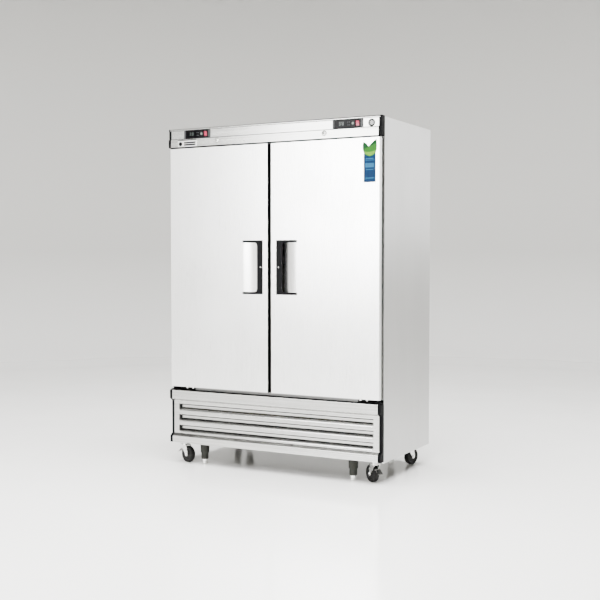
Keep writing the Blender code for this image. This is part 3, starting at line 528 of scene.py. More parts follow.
def turned_piece(name, profile, where, turn, sides, look, body, replaced=(), smooth=40):
    bm = bmesh.new()
    add_turned(bm, profile, where, turn, sides)
    piece_from(bm, name, look, body, replaced, smooth)


def boxed_piece(name, boxes, look, body, edge=0.0, replaced=()):
    """One piece of several (low, high) boxes, their edges rounded by the same width."""
    bm = bmesh.new()
    for low, high in boxes:
        add_box(bm, low, high, edge)
    piece_from(bm, name, look, body, replaced)


def wires(name, paths, radius, look, replaced=(), closed=False):
    """Round wires of the cabinet along straight-sided paths."""
    curve = bpy.data.curves.new(name, "CURVE")
    curve.dimensions = "3D"
    curve.bevel_depth = radius
    curve.bevel_resolution = 2
    curve.use_fill_caps = True
    for path in paths:
        spline = curve.splines.new("POLY")
        spline.points.add(len(path) - 1)
        for point, place in zip(spline.points, path):
            point.co = (*place, 1)
        spline.use_cyclic_u = closed
    curve.materials.append(look)
    piece = bpy.data.objects.new(name, curve)
    bpy.context.scene.collection.objects.link(piece)
    enlist(piece, "cabinet", replaced)


# ---------------------------------------------------------------- controllers
SEGMENTS = {"3": "abgcd", "8": "abcdefg"}
DISPLAYED = "38"
WINDOW_STAND = 0.0008  # how far the display window stands off the controller


def add_digit(bm, character, centre, width=0.0085, height=0.0150, thick=0.0020, raised=0.0003):
    """A seven-segment digit."""
    x, y, z = centre
    half_w, half_h = width / 2, height / 2
    spots = {
        "a": (0, half_h, True),
        "g": (0, 0, True),
        "d": (0, -half_h, True),
        "b": (half_w, half_h / 2, False),
        "f": (-half_w, half_h / 2, False),
        "c": (half_w, -half_h / 2, False),
        "e": (-half_w, -half_h / 2, False),
    }
    for segment in SEGMENTS[character]:
        dx, dz, level = spots[segment]
        reach_x = (half_w - thick * 0.7) if level else thick / 2
        reach_z = thick / 2 if level else (half_h / 2 - thick * 0.7)
        low = (x + dx - reach_x, y - raised, z + dz - reach_z)
        add_box(bm, low, (x + dx + reach_x, y, z + dz + reach_z))


def controller_details(name):
    """Grey ends, display window with digits, keys, lamp and the frame round the rocker."""
    low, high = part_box(f"controller_{name}")
    rocker_low, rocker_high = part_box(f"rocker_switch_{name}")
    middle_z, half_z, face = (low.z + high.z) / 2, (high.z - low.z) / 2, low.y
    end, proud = 0.0095, 0.0012
    bm = bmesh.new()
    for x in (low.x + end / 2, high.x - end / 2):
        outline = rounded_outline(end / 2, half_z - 0.0004, 0.0012)
        add_slab(bm, outline, proud, (x, face, middle_z), edge=0.0003)
    piece_from(bm, f"controller_ends_{name}", BEZEL_GREY, "cabinet")

    margin, lamp_room = 0.003, 0.0250
    window_half = (rocker_low.x - lamp_room - low.x - end - margin - 0.001) / 2
    window_x = low.x + end + margin + window_half
    outline = rounded_outline(window_half, half_z - 0.0050, 0.0020)
    spot = (window_x, face, middle_z)
    slab_piece(
        f"display_window_{name}", outline, WINDOW_STAND, spot, WINDOW_BLACK, "cabinet"
    )
    glass = face - WINDOW_STAND
    bm = bmesh.new()
    for n, character in enumerate(DISPLAYED):
        add_digit(bm, character, (window_x - 0.016 + n * 0.0165, glass, middle_z + 0.001))
    piece_from(bm, f"display_digits_{name}", DIGIT, "cabinet")

    bm = bmesh.new()
    first_x, first_z = window_x + window_half - 0.014, middle_z + 0.007
    for n in range(4):
        spot = (first_x + 0.0085 * (n % 2), glass, first_z - 0.014 * (n // 2))
        add_turned(bm, dome_profile(0.0027, 0.0010), spot, TO_FRONT, 20)
    piece_from(bm, f"control_keys_{name}", BEZEL_GREY, "cabinet")

    lamp_at = (rocker_low.x - 0.0130, face, middle_z)
    lens = dome_profile(0.0056, 0.0022)
    turned_piece(f"status_lamp_{name}", lens, lamp_at, TO_FRONT, 32, LAMP_LENS, "cabinet")
    ring = [(0.0058, 0), (0.0078, 0), (0.0078, 0.0009), (0.0068, 0.0015), (0.0058, 0.0012)]
    turned_piece(f"lamp_ring_{name}", ring, lamp_at, TO_FRONT, 32, BEZEL_GREY, "cabinet")

    wall, proud, half_tall = 0.0016, 0.0014, 0.0165
    inner = (rocker_low.x - 0.0004, rocker_high.x + 0.0004)
    outer = (inner[0] - wall, inner[1] + wall)
    low_z, high_z = middle_z - half_tall, middle_z + half_tall
    bars = [
        ((outer[0], face - proud, low_z), (inner[0], face, high_z)),
        ((inner[1], face - proud, low_z), (outer[1], face, high_z)),
        ((outer[0], face - proud, low_z - wall), (outer[1], face, low_z)),
        ((outer[0], face - proud, high_z), (outer[1], face, high_z + wall)),
    ]
    boxed_piece(f"rocker_frame_{name}", bars, BEZEL_BLACK, "cabinet", 0.0003)


# ---------------------------------------------------------------- header
HEADER_RECESS_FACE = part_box("header_end_cap_left")[0].y + 0.006
HEADER_FOLDS = (0.0445, 0.0893)  # above the header's foot: over the lower band, under the top rim


def header_details():
    """Rings round the locks and the generic marks on the name plate."""
    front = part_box("header_end_cap_left")[0].y
    ring = [(0.0114, 0), (0.0138, 0), (0.0138, 0.0007), (0.0128, 0.0013), (0.0114, 0.0010)]
    for name, _ in SIDES:
        low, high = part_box(f"header_lock_{name}")
        centre = ((low.x + high.x) / 2, front, (low.z + high.z) / 2)
        turned_piece(f"lock_ring_{name}", ring, centre, TO_FRONT, 48, LOCK_RING, "cabinet")

    low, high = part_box("badge_plate")
    wide, middle = high.x - low.x, (low + high) / 2
    strip_low = (low.x + 0.001, low.y - 0.0004, high.z - 0.0062)
    strip_high = (high.x - 0.001, low.y, high.z - 0.0008)
    boxed_piece(
        "badge_top_strip", [(strip_low, strip_high)], MARK_BLACK, "cabinet", 0.0002
    )
    bm = bmesh.new()
    marks_z, bar_spacing = middle.z - 0.0040, 0.0112
    for rise in (bar_spacing / 2, -bar_spacing / 2):
        spot = (middle.x + wide * 0.13, low.y, marks_z + rise)
        add_slab(bm, rounded_outline(wide * 0.31, 0.0046, 0.0040), 0.0004, spot, edge=0.0001)
    add_turned(bm, dome_profile(0.0115, 0.0004), (low.x + 0.0175, low.y, marks_z), TO_FRONT, 32)
    piece_from(bm, "badge_marks", MARK_BLACK, "cabinet")


def frost_mark():
    """A plain six-armed frost mark on a disc, printed right of the right-hand controller."""
    low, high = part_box("controller_right")
    cap_low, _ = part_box("header_end_cap_right")
    middle_x, middle_z = (high.x + cap_low.x) / 2, (low.z + high.z) / 2 - 0.002
    centre = (middle_x, HEADER_RECESS_FACE, middle_z)
    disc = [(0, 0), (0.0190, 0), (0.0190, 0.0003), (0.0187, 0.0005), (0, 0.0005)]
    turned_piece("frost_disc", disc, centre, TO_FRONT, 48, MARK_BLACK, "cabinet")

    wide, thick, branch = 0.0012, 0.0004, 0.9
    strokes = ((0, 0.0130, 0), (0.0065, 0.0115, branch), (0.0065, 0.0115, -branch))
    above = Matrix.Translation((middle_x, HEADER_RECESS_FACE - 0.0007, middle_z))
    bm = bmesh.new()
    for arm in range(6):
        turn = Matrix.Rotation(arm * math.pi / 3, 4, "Y")
        for start, end, lean in strokes:
            root = Matrix.Translation((0, 0, start)) @ Matrix.Rotation(lean, 4, "Y")
            length = end - start
            stroke = Matrix.Translation((0, 0, length / 2))
            stroke @= Matrix.Diagonal((wide, thick, length, 1))
            made = bmesh.ops.create_cube(bm, size=1)["verts"]
            bmesh.ops.transform(bm, matrix=above @ turn @ root @ stroke, verts=made)
    piece_from(bm, "frost_mark", MARK_WHITE, "cabinet")


# ---------------------------------------------------------------- doors
# Each pale band of the label: how far below the leaves' foot, half its width, half its height.
LABEL_BANDS = (
    (0.0115, 0.020, 0.0020),
    (0.0190, 0.026, 0.0012),
    (0.0440, 0.024, 0.0105),
    (0.0650, 0.020, 0.0016),
    (0.1065, 0.027, 0.0024),
)
LEAVES = (
    (0.0, -0.002), (0.018, 0.004), (0.032, 0.016), (0.038, 0.034), (0.0385, 0.058),
    (0.036, 0.083), (0.020, 0.072), (0.006, 0.060), (-0.006, 0.048), (-0.020, 0.064),
    (-0.034, 0.071), (-0.0385, 0.052), (-0.037, 0.030), (-0.028, 0.012), (-0.014, 0.003),
)
RIGHT_SHADE = (
    (-0.006, 0.048), (0.006, 0.060), (0.020, 0.072),
    (0.036, 0.083), (0.0375, 0.062), (0.020, 0.056),
)
LEFT_SHADE = (
    (-0.006, 0.048), (-0.020, 0.064), (-0.034, 0.071), (-0.0375, 0.050), (-0.030, 0.036),
)
LIME_BAND = (
    (0.0, 0.001), (0.017, 0.007), (0.030, 0.018), (0.033, 0.027),
    (0.0, 0.020), (-0.034, 0.024), (-0.027, 0.014), (-0.013, 0.006),
)


def door_label():
    """A plain stick-on label: a two-leaf green top over a blue panel with pale bands."""
    low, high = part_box("door_skin_right")
    film, leaf_film = 0.0002, 0.0003
    face = low.y - film
    middle, leaf_foot = high.x - 0.055, high.z - 0.092
    panel = rounded_outline(0.0325, 0.0700, 0.0015)
    spot = (middle, low.y - film / 2, leaf_foot - 0.0570)
    slab_piece("label_blue_panel", panel, film, spot, LABEL_BLUE, "door_right")
    bands = []
    for drop, wide, tall in LABEL_BANDS:
        z = leaf_foot - drop
        bands.append(((middle - wide, face - 0.0003, z - tall), (middle + wide, face, z + tall)))
    boxed_piece("label_pale_bands", bands, LABEL_PALE, "door_right")
    for name, outline, thick, front, look in (
        ("label_leaves", LEAVES, leaf_film, face, LABEL_GREEN),
        ("label_leaf_shade", RIGHT_SHADE, film, face - leaf_film, LABEL_DEEP_GREEN),
        ("label_leaf_shade_left", LEFT_SHADE, film, face - leaf_film, LABEL_DEEP_GREEN),
        ("label_lime_band", LIME_BAND, film, face - leaf_film, LABEL_LIME),
    ):
        spot = (middle, front, leaf_foot)
        slab_piece(name, outline, thick, spot, look, "door_right", edge=0)


def door_details(name, side):
    """Grip screw, grip end bars and the black profile on the edge where the doors meet, partly
    painted shade in the seam.
    """
    body = f"door_{name}"
    low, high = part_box(f"door_grip_{name}")
    inner_x = min((low.x, high.x), key=abs)
    spot = (inner_x + side * 0.0141, low.y, (low.z + high.z) / 2 + 0.0015)
    screws(f"grip_screw_{name}", [spot], TO_FRONT, 0.0030, 0.0014, body, ZINC)
    face, inset, tall = low.y - 0.0003, 0.0002, 0.0120
    bars = [
        ((low.x + inset, face, foot), (high.x - inset, face + 0.0008, foot + tall))
        for foot in (low.z + inset, high.z - inset - tall)
    ]
    boxed_piece(f"grip_bars_{name}", bars, GRIP_BLACK, body, 0.0002)

    # The black edge profile stands partly for a real profile and partly for painted shade deep in
    # the seam between the doors.
    low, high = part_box(f"door_skin_{name}")
    edge = low.x if side > 0 else high.x
    stand, wrap, depth = 0.0004, 0.0036, 0.0218
    foot, head = low.z + 0.0002, high.z - 0.0002
    boxes = []
    for reach, front, back in ((-0.00003, -0.0001, depth), (wrap, -0.0004, -0.0001)):
        start, end = sorted((edge - side * stand, edge + side * reach))
        boxes.append(((start, low.y + front, foot), (end, low.y + back, head)))
    boxed_piece(f"meeting_edge_and_shade_{name}", boxes, SEAL_AND_SHADE_BLACK, body)


def black_trims():
    """Black strips of painted shade in the gap under the header and along its foot and folds, and
    the strip along the top of the grille.
    """
    low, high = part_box("header_panel")
    # A black strip under the header: painted shade in the gap above the doors.
    drip = ((low.x, low.y + 0.0045, low.z - 0.0050), (high.x, low.y + 0.0095, low.z - 0.0001))
    boxed_piece("header_gap_painted_shade", [drip], SEAL_AND_SHADE_BLACK, "cabinet", 0.0004)
    # Thin black lines along the header's foot and folds: painted shade lines.
    front, half = low.y - 0.0003, 0.0007
    bm = bmesh.new()
    add_box(bm, (low.x, front, low.z), (high.x, low.y + 0.0009, low.z + 0.0018), 0.0002)
    for z in (low.z + HEADER_FOLDS[0], low.z + HEADER_FOLDS[1]):
        add_box(bm, (low.x, front, z - half), (high.x, low.y + 0.0003, z + half))
    piece_from(bm, "header_painted_shade_lines", SEAL_AND_SHADE_BLACK, "cabinet")
    low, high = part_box("grille_panel")
    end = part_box("grille_end_cap_right")[1].x - 0.0012
    strip = ((-end, low.y + 0.0010, high.z + 0.0001), (end, high.y + 0.0010, high.z + 0.0016))
    boxed_piece("grille_top_strip", [strip], SEAL_AND_SHADE_BLACK, "cabinet", 0.0003)


# ---------------------------------------------------------------- grille
SLOT_DROPS = (0.0760, 0.1343, 0.1926)  # from the grille's top to the top of each slot
SLOT_HIGH, SLOT_INSET = 0.032, 0.038
FIELD = 0.020  # how far the slotted field lies behind the upper band
LOWER_BAND = 0.002  # how far the lower band lies behind the upper one
FOLD_RADIUS = 0.0025
BLADE_GAP = 0.007  # between a blade and the end of its slot
CAP_LIP = 0.0070  # how far the end caps lap over the front sheets


def filleted(path, steps=4):
    """The path with its inner corners rounded."""
    made = [path[0]]
    for before, corner, after in zip(path, path[1:], path[2:]):
        here = Vector(corner)
        back, on = Vector(before) - here, Vector(after) - here
        reach = min(FOLD_RADIUS, back.length * 0.45, on.length * 0.45)
        start, end = here + back.normalized() * reach, here + on.normalized() * reach
        for n in range(steps + 1):
            t = n / steps
            made.append(tuple(start * (1 - t) ** 2 + here * 2 * t * (1 - t) + end * t**2))
    return made + [path[-1]]


def add_strip(bm, path, low_x, high_x, front, thick=0.0012):
    """Sheet bent along a path of (depth, height) points, between two X positions."""
    rows = []
    for shift in (0, thick):
        for x in (low_x, high_x):
            rows.append([bm.verts.new((x, front + depth + shift, z)) for depth, z in path])
    left, right, left_back, right_back = rows
    for n in range(len(path) - 1):
        bm.faces.new((left[n], right[n], right[n + 1], left[n + 1]))
        bm.faces.new((left_back[n], left_back[n + 1], right_back[n + 1], right_back[n]))
        bm.faces.new((left[n], left[n + 1], left_back[n + 1], left_back[n]))
        bm.faces.new((right[n], right_back[n], right_back[n + 1], right[n + 1]))
    for n in (0, -1):
        bm.faces.new((left[n], left_back[n], right_back[n], right[n]))


def blade_path(top):
    """A pressed louvre: an upright band set back in the slot, then a ramp that eases forward."""
    band_top, band_foot = top - 0.0078, top - 0.0200
    ramp_foot, reach, steps = top - SLOT_HIGH - 0.0095, 0.0180, 14
    path = [(FIELD + reach + 0.0006, band_top), (FIELD + reach, band_foot)]
    for n in range(1, steps + 1):
        share = 1 - n / steps
        path.append((FIELD + reach * share**2, ramp_foot + (band_foot - ramp_foot) * share))
    return path


def grille():
    """The stepped and louvred front sheet, the end caps' lips and the filter behind the slots."""
    low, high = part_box("grille_panel")
    front, top = low.y, high.z
    tops = [top - drop for drop in SLOT_DROPS]
    last_foot = tops[2] - SLOT_HIGH
    upper = filleted(
        [(0.004, top), (0, top), (0, top - 0.0467), (FIELD, top - 0.0597), (FIELD, tops[0])]
    )
    lower = filleted(
        [
            (FIELD, last_foot),
            (FIELD, low.z + 0.0490),
            (LOWER_BAND, low.z + 0.0360),
            (LOWER_BAND, low.z),
            (LOWER_BAND + 0.010, low.z),
        ]
    )
    slot_end = high.x - SLOT_INSET
    blade_end = slot_end - BLADE_GAP
    returned = FIELD + 0.0020  # the short fold at the head of each slot
    bm = bmesh.new()
    add_strip(bm, upper + lower, low.x, -slot_end, front)
    add_strip(bm, upper + lower, slot_end, high.x, front)
    for start, end, bladed in (
        (-slot_end, -blade_end, False),
        (-blade_end, blade_end, True),
        (blade_end, slot_end, False),
    ):
        add_strip(bm, upper + [(returned, tops[0])], start, end, front)
        for n, slot_top in enumerate(tops):
            head = blade_path(slot_top) if bladed else [(FIELD, slot_top - SLOT_HIGH)]
            foot = lower[1:] if n == 2 else [(FIELD, tops[n + 1]), (returned, tops[n + 1])]
            add_strip(bm, head + foot, start, end, front)
    piece_from(
        bm, "grille_face", SHADED_BAND_STEEL, "cabinet", ["grille_panel"], 30, True
    )

    header_low, header_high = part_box("header_panel")
    fold, recess = header_low.z + HEADER_FOLDS[0], HEADER_RECESS_FACE
    proud, sunk = 0.0006, 0.0004  # the lip in front of its sheet, and behind the sheet's face
    bm = bmesh.new()
    for _, side in SIDES:
        start, end = sorted((side * (high.x - CAP_LIP), side * (high.x + 0.0008)))
        add_strip(bm, upper[1:] + lower[:-1], start, end, front - proud, 0.0008)
        add_box(bm, (start, front - proud, header_low.z), (end, front + sunk, fold))
        add_box(bm, (start, recess - proud, fold), (end, recess + sunk, header_high.z - 0.011))
    piece_from(bm, "end_cap_lips", BLACK, "cabinet")

    back = front + 0.0403
    sheet = ((-slot_end, back, last_foot - 0.012), (slot_end, back + 0.0008, tops[0] + 0.006))
    boxed_piece("grille_filter", [sheet], SEAL_AND_SHADE_BLACK, "cabinet")


# ---------------------------------------------------------------- hinges
def hinge_screws():
    low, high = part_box("hinge_bracket_right")
    plate_front, screw_z = high.y - 0.003, low.z + 0.0095
    for name, side in SIDES:
        places = [(side * x, plate_front, screw_z) for x in (0.503, 0.540)]
        screws(f"hinge_screws_{name}", places, TO_FRONT, 0.0075, 0.0042, "cabinet")


# ---------------------------------------------------------------- base, casters and legs
TRAY_DEPTH = 0.030  # from the base pan's top down to the tray's underside
# Radius and drop below the tray of a leg's sleeve: flange, upper taper, step, lower taper, bore.
SLEEVE = (
    (0.0074, 0), (0.0318, 0), (0.0318, 0.0044), (0.0300, 0.0056), (0.0256, 0.0062),
    (0.0247, 0.0085), (0.0240, 0.0540), (0.0233, 0.0562), (0.0206, 0.0590), (0.0201, 0.0606),
    (0.0195, 0.0905), (0.0188, 0.0918), (0.0172, 0.0918), (0.0172, 0.0660), (0.0074, 0.0660),
)
# The same for the upper race of a caster.
RACE = (
    (0, 0.001), (0.0235, 0.001), (0.0213, 0.0075), (0.0213, 0.0160), (0.0200, 0.0164), (0, 0.0164),
)
BOLT_HEAD = ((0, 0.0038), (0.0042, 0.0038), (0.0050, 0.0030), (0.0050, 0), (0, 0))
PLATE_HALF, PLATE_OFFSET, PLATE_THICK, BOLT_REACH = 0.0318, 0.012, 0.0030, 0.0255


def hung(profile, level):
    """A profile of (radius, drop) points as (radius, height) under the level."""
    return [(radius, level - drop) for radius, drop in profile]


def base_pieces():
    """The floor tray, the legs' sleeves and the casters' bolted plates."""
    low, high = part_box("base_pan")
    floor, inset = high.z - TRAY_DEPTH, 0.0004
    sheet, rim = floor + 0.0022, floor + 0.0295
    wall = sheet - floor
    x0, x1, y0, y1 = low.x + inset, high.x - inset, low.y + inset, high.y - inset
    boxes = [
        ((x0, y0, floor), (x1, y1, sheet)),
        ((x0, y0, sheet), (x1, y0 + wall, rim)),
        ((x0, y1 - wall, sheet), (x1, y1, rim)),
        ((x0, y0 + wall, sheet), (x0 + wall, y1 - wall, rim)),
        ((x1 - wall, y0 + wall, sheet), (x1, y1 - wall, rim)),
    ]
    # The floor tray's dark paint is partly painted shade for the dark under the cabinet.
    boxed_piece("floor_tray", boxes, DARK_PAINT_AND_SHADE, "cabinet", 0, ["base_pan"])

    sleeves, plates, bolts = bmesh.new(), bmesh.new(), bmesh.new()
    for corner in CORNERS:
        foot_low, foot_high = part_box(f"leg_foot_{corner}")
        spot = ((foot_low.x + foot_high.x) / 2, (foot_low.y + foot_high.y) / 2, 0)
        add_turned(sleeves, hung(SLEEVE, floor), spot, sides=64)

        stem, _, _ = caster_frame(corner)
        x, y, under = stem.x, stem.y + PLATE_OFFSET, floor - PLATE_THICK
        corner_low = (x - PLATE_HALF, y - PLATE_HALF, under)
        add_box(plates, corner_low, (x + PLATE_HALF, y + PLATE_HALF, floor - 0.0001), 0.0008)
        add_turned(plates, hung(RACE, floor), (stem.x, stem.y, 0))
        for side_x in (-1, 1):
            for side_y in (-1, 1):
                spot = (x + side_x * BOLT_REACH, y + side_y * BOLT_REACH, under)
                add_turned(bolts, BOLT_HEAD, spot, UPSIDE_DOWN, 6)
    tray = ["base_pan"]
    piece_from(sleeves, "leg_sleeves", SLEEVE_GREY, "cabinet", tray, 30)
    piece_from(plates, "caster_plates", ZINC, "cabinet", tray)
    piece_from(bolts, "caster_bolts", BRIGHT_ZINC, "cabinet", (), 25)


TREAD_HALF = 0.0130  # half the width of a caster's tread
CHEEK_IN, CHEEK_OUT = 0.0150, 0.0178  # from the wheel's middle to a fork cheek's two faces
TRAIL = 0.025  # from a caster's stem to its axle
AXLE_EYE = 0.0110  # radius of a cheek round the axle
CUP = ((0, 0.0070), (0.0205, 0.0070), (0.0232, 0.0050), (0.0234, 0.0002), (0, 0.0002))
COLLAR = (
    (0.0200, 0.0001), (0.0243, 0.0012), (0.0252, 0.0040), (0.0243, 0.0072),
    (0.0236, 0.0072), (0.0236, 0.0008), (0.0200, 0.0006),
)
KING_NUT = ((0, 0.0085), (0.0075, 0.0085), (0.0075, 0.0125), (0.0062, 0.0138), (0, 0.0138))
HUB_BOSS = ((0, 0.0012), (0.0034, 0.0012), (0.0042, 0.0004), (0.0042, -0.0006), (0, -0.0006))
AXLE_HEAD = (
    (0, 0.0046), (0.0050, 0.0046), (0.0062, 0.0036), (0.0062, 0.0006),
    (0.0074, 0.0004), (0.0074, 0), (0, 0),
)


def caster_frame(corner):
    """A caster's (stem point, axle point, unit vector from stem to axle), from its joints."""
    stem = Vector(joints[f"caster_{corner}_swivel"]["pos_m"])
    axle = Vector(joints[f"caster_{corner}_roll"]["pos_m"])
    return stem, axle, Vector((axle.x - stem.x, axle.y - stem.y, 0)).normalized()


def facing(direction):
    """The turn that points a turned shape's top along the direction."""
    return direction.to_track_quat("Z", "Y").to_matrix().to_4x4()


def wheel_pieces(corner, axle, across):
    """Tread and hub, with a ring of bosses on both sides of the hub."""
    wheel = f"caster_wheel_{corner}"
    low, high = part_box(wheel)
    radius, half, turn = (high.z - low.z) / 2, TREAD_HALF, facing(across)
    tread = [(0.0335, half - 0.0006), (0.0348, half), (radius - 0.0042, half)]
    tread += [(radius - 0.0014, half - 0.0012), (radius - 0.0003, half - 0.0038)]
    tread = mirrored(tread + [(radius, half - 0.0070)])
    turned_piece(f"caster_tread_{corner}", tread, axle, turn, 96, TREAD, wheel, [wheel])
    web = half - 0.0046
    hub = [(0.0046, half), (0.0110, half), (0.0125, half - 0.0010), (0.0145, half - 0.0042)]
    hub = mirrored(hub + [(0.0300, web), (0.0335, half - 0.0016)])
    turned_piece(f"caster_hub_{corner}", hub, axle, turn, 64, HUB_GREY, wheel, [wheel])
    bm = bmesh.new()
    for n in range(6):
        spot = axle + (turn @ Matrix.Rotation(n * math.pi / 3, 4, "Z") @ Vector((0.0225, 0, 0)))
        for outward in (across, -across):
            add_turned(bm, HUB_BOSS, spot + outward * web, facing(outward), 16)
    piece_from(bm, f"hub_bosses_{corner}", HUB_GREY, wheel)


def pressed_fork(corner, stem, axle, heading):
    """Two cheeks down to the axle, the crown plate that joins them and the cup of its race."""
    fork = f"caster_fork_{corner}"
    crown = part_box(fork)[1].z
    outline = [(-0.0160, crown - 0.0045), (-0.0168, crown - 0.0125), (-0.0100, crown - 0.0220)]
    outline.append((0.0120, axle.z + 0.0060))
    for n in range(9):
        angle = math.radians(165 + 215 * n / 8)
        eye_x, eye_z = AXLE_EYE * math.cos(angle), AXLE_EYE * math.sin(angle)
        outline.append((TRAIL + eye_x, axle.z + eye_z))
    outline += [(0.0345, axle.z + 0.0150), (0.0262, crown - 0.0120), (0.0250, crown - 0.0045)]
    bm = bmesh.new()
    for low_y, high_y in ((CHEEK_IN, CHEEK_OUT), (-CHEEK_OUT, -CHEEK_IN)):
        near, far = [[bm.verts.new((x, y, z)) for x, z in outline] for y in (low_y, high_y)]
        for n in range(len(outline)):
            m = (n + 1) % len(outline)
            bm.faces.new((near[n], near[m], far[m], far[n]))
        bm.faces.new(near)
        bm.faces.new(far[::-1])
    sharp = [e for e in bm.edges if e.is_manifold and e.calc_face_angle(0) > math.radians(50)]
    bmesh.ops.bevel(bm, geom=sharp, offset=0.0006, segments=2, affect="EDGES", profile=0.6)
    plate_low = (-0.0162, -CHEEK_OUT, crown - 0.0075)
    add_box(bm, plate_low, (0.0252, CHEEK_OUT, crown - 0.0040), 0.0012)
    add_turned(bm, hung(CUP, crown), (0, 0, 0))
    spin = heading.to_track_quat("X", "Z").to_matrix().to_4x4()
    bmesh.ops.transform(bm, matrix=Matrix.Translation((stem.x, stem.y, 0)) @ spin, verts=bm.verts)
    piece_from(bm, f"pressed_fork_{corner}", ZINC, fork, [fork], 35)


def caster_pieces(corner):
    """The wheel, its fork with the axle bolt, and the swivel's collar and nut."""
    stem, axle, heading = caster_frame(corner)
    across = Vector((-heading.y, heading.x, 0))
    fork = f"caster_fork_{corner}"
    wheel_pieces(corner, axle, across)
    pressed_fork(corner, stem, axle, heading)
    bm = bmesh.new()
    for outward, sides in ((across, 6), (-across, 24)):
        add_turned(bm, AXLE_HEAD, axle + outward * CHEEK_OUT, facing(outward), sides)
    piece_from(bm, f"axle_bolt_{corner}", BRIGHT_ZINC, fork, (), 25)
    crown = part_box(fork)[1].z
    bm = bmesh.new()
    add_turned(bm, hung(COLLAR, crown), (stem.x, stem.y, 0), sides=64)
    add_turned(bm, hung(KING_NUT, crown), (stem.x, stem.y, 0), sides=6)
    piece_from(bm, f"swivel_collar_{corner}", ZINC, fork, (), 30)


def foot_piece(corner):
    """Turned metal foot with a rounded base, a groove and its screw."""
    node = f"leg_foot_{corner}"
    low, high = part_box(node)
    floor, outer, groove, screw = low.z, 0.0164, 0.0148, 0.0068
    profile = [(0, high.z), (0.0062, high.z), (screw, high.z - 0.001), (screw, floor + 0.029)]
    profile += [(outer - 0.001, floor + 0.029), (outer, floor + 0.028), (outer, floor + 0.0125)]
    profile += [(groove, floor + 0.0115), (groove, floor + 0.0100), (outer, floor + 0.0090)]
    profile += [(outer, floor + 0.0022), (outer - 0.0022, floor), (0, floor)]
    spot = ((low.x + high.x) / 2, (low.y + high.y) / 2, 0)
    name = f"levelling_foot_{corner}"
    turned_piece(name, profile, spot, AS_DRAWN, 64, BRIGHT_ZINC, node, [node], 30)


# ---------------------------------------------------------------- inside the compartments
RIM_RADIUS, WIRE_RADIUS, BAR_RADIUS = 0.0026, 0.0013, 0.0021
SHELF_GAPS = 26  # between a shelf's front-to-back wires


def wire_shelf(node):
    """Welded wire shelf: a rim, front-to-back wires and three cross bars."""
    low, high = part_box(node)
    x0, x1 = low.x + RIM_RADIUS, high.x - RIM_RADIUS
    y0, y1 = low.y + RIM_RADIUS, high.y - RIM_RADIUS
    z = high.z - RIM_RADIUS
    rim = [(x0, y0, z), (x1, y0, z), (x1, y1, z), (x0, y1, z)]
    wires(f"{node}_rim", [rim], RIM_RADIUS, COATED_WIRE, [node], True)
    z = high.z - WIRE_RADIUS
    across = [x0 + (x1 - x0) * n / SHELF_GAPS for n in range(1, SHELF_GAPS)]
    runs = [[(x, y0, z), (x, y1, z)] for x in across]
    wires(f"{node}_wires", runs, WIRE_RADIUS, COATED_WIRE, [node])
    z = high.z - 2 * WIRE_RADIUS - BAR_RADIUS
    depths = [low.y + (high.y - low.y) * share for share in (0.25, 0.5, 0.75)]
    bars = [[(x0, y, z), (x1, y, z)] for y in depths]
    wires(f"{node}_bars", bars, BAR_RADIUS, COATED_WIRE, [node])


def fan_guard(name):
    """Wire rings and spokes over the evaporator fan's mouth."""
    centre = Vector(joints[f"evaporator_fan_{name}_spin"]["pos_m"])
    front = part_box(f"evaporator_{name}")[0].y - 0.0016
    steps = 48

    def around(radius, angle, depth):
        return (centre.x + radius * math.cos(angle), depth, centre.z + radius * math.sin(angle))

    rings = [
        [around(radius, 2 * math.pi * n / steps, front) for n in range(steps)]
        for radius in (0.018, 0.030, 0.042, 0.054, 0.066, 0.073)
    ]
    wires(f"fan_guard_rings_{name}", rings, 0.0011, ZINC, (), True)
    angles = [math.pi / 4 + n * math.pi / 2 for n in range(4)]
    inner, outer = 0.016, 0.076
    raised = front + 0.0012
    spokes = [[around(radius, angle, raised) for radius in (inner, outer)] for angle in angles]
    wires(f"fan_guard_spokes_{name}", spokes, 0.0014, ZINC)
    places = [around(outer, angle, front) for angle in angles]
    screws(f"fan_guard_screws_{name}", places, TO_FRONT, 0.0045, 0.0024, "cabinet")


def interior_lamp(name):
    """A flat lamp on the compartment's ceiling, near the door."""
    low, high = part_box(f"liner_{name}")
    middle, ceiling, front = (low.x + high.x) / 2, high.z - 0.0019, low.y + 0.060
    base = ((middle - 0.105, front, ceiling - 0.010), (middle + 0.105, front + 0.062, ceiling))
    boxed_piece(f"lamp_base_{name}", [base], LINER_WHITE, "cabinet", 0.003)
    lens_low = (middle - 0.098, front + 0.006, ceiling - 0.022)
    lens = (lens_low, (middle + 0.098, front + 0.056, ceiling - 0.009))
    boxed_piece(f"lamp_lens_{name}", [lens], LIGHT_LENS, "cabinet", 0.005)


# ---------------------------------------------------------------- back and top
def evenly(low, high, count):
    """Positions spread evenly from low to high, both included."""
    return [low + (high - low) * n / (count - 1) for n in range(count)]


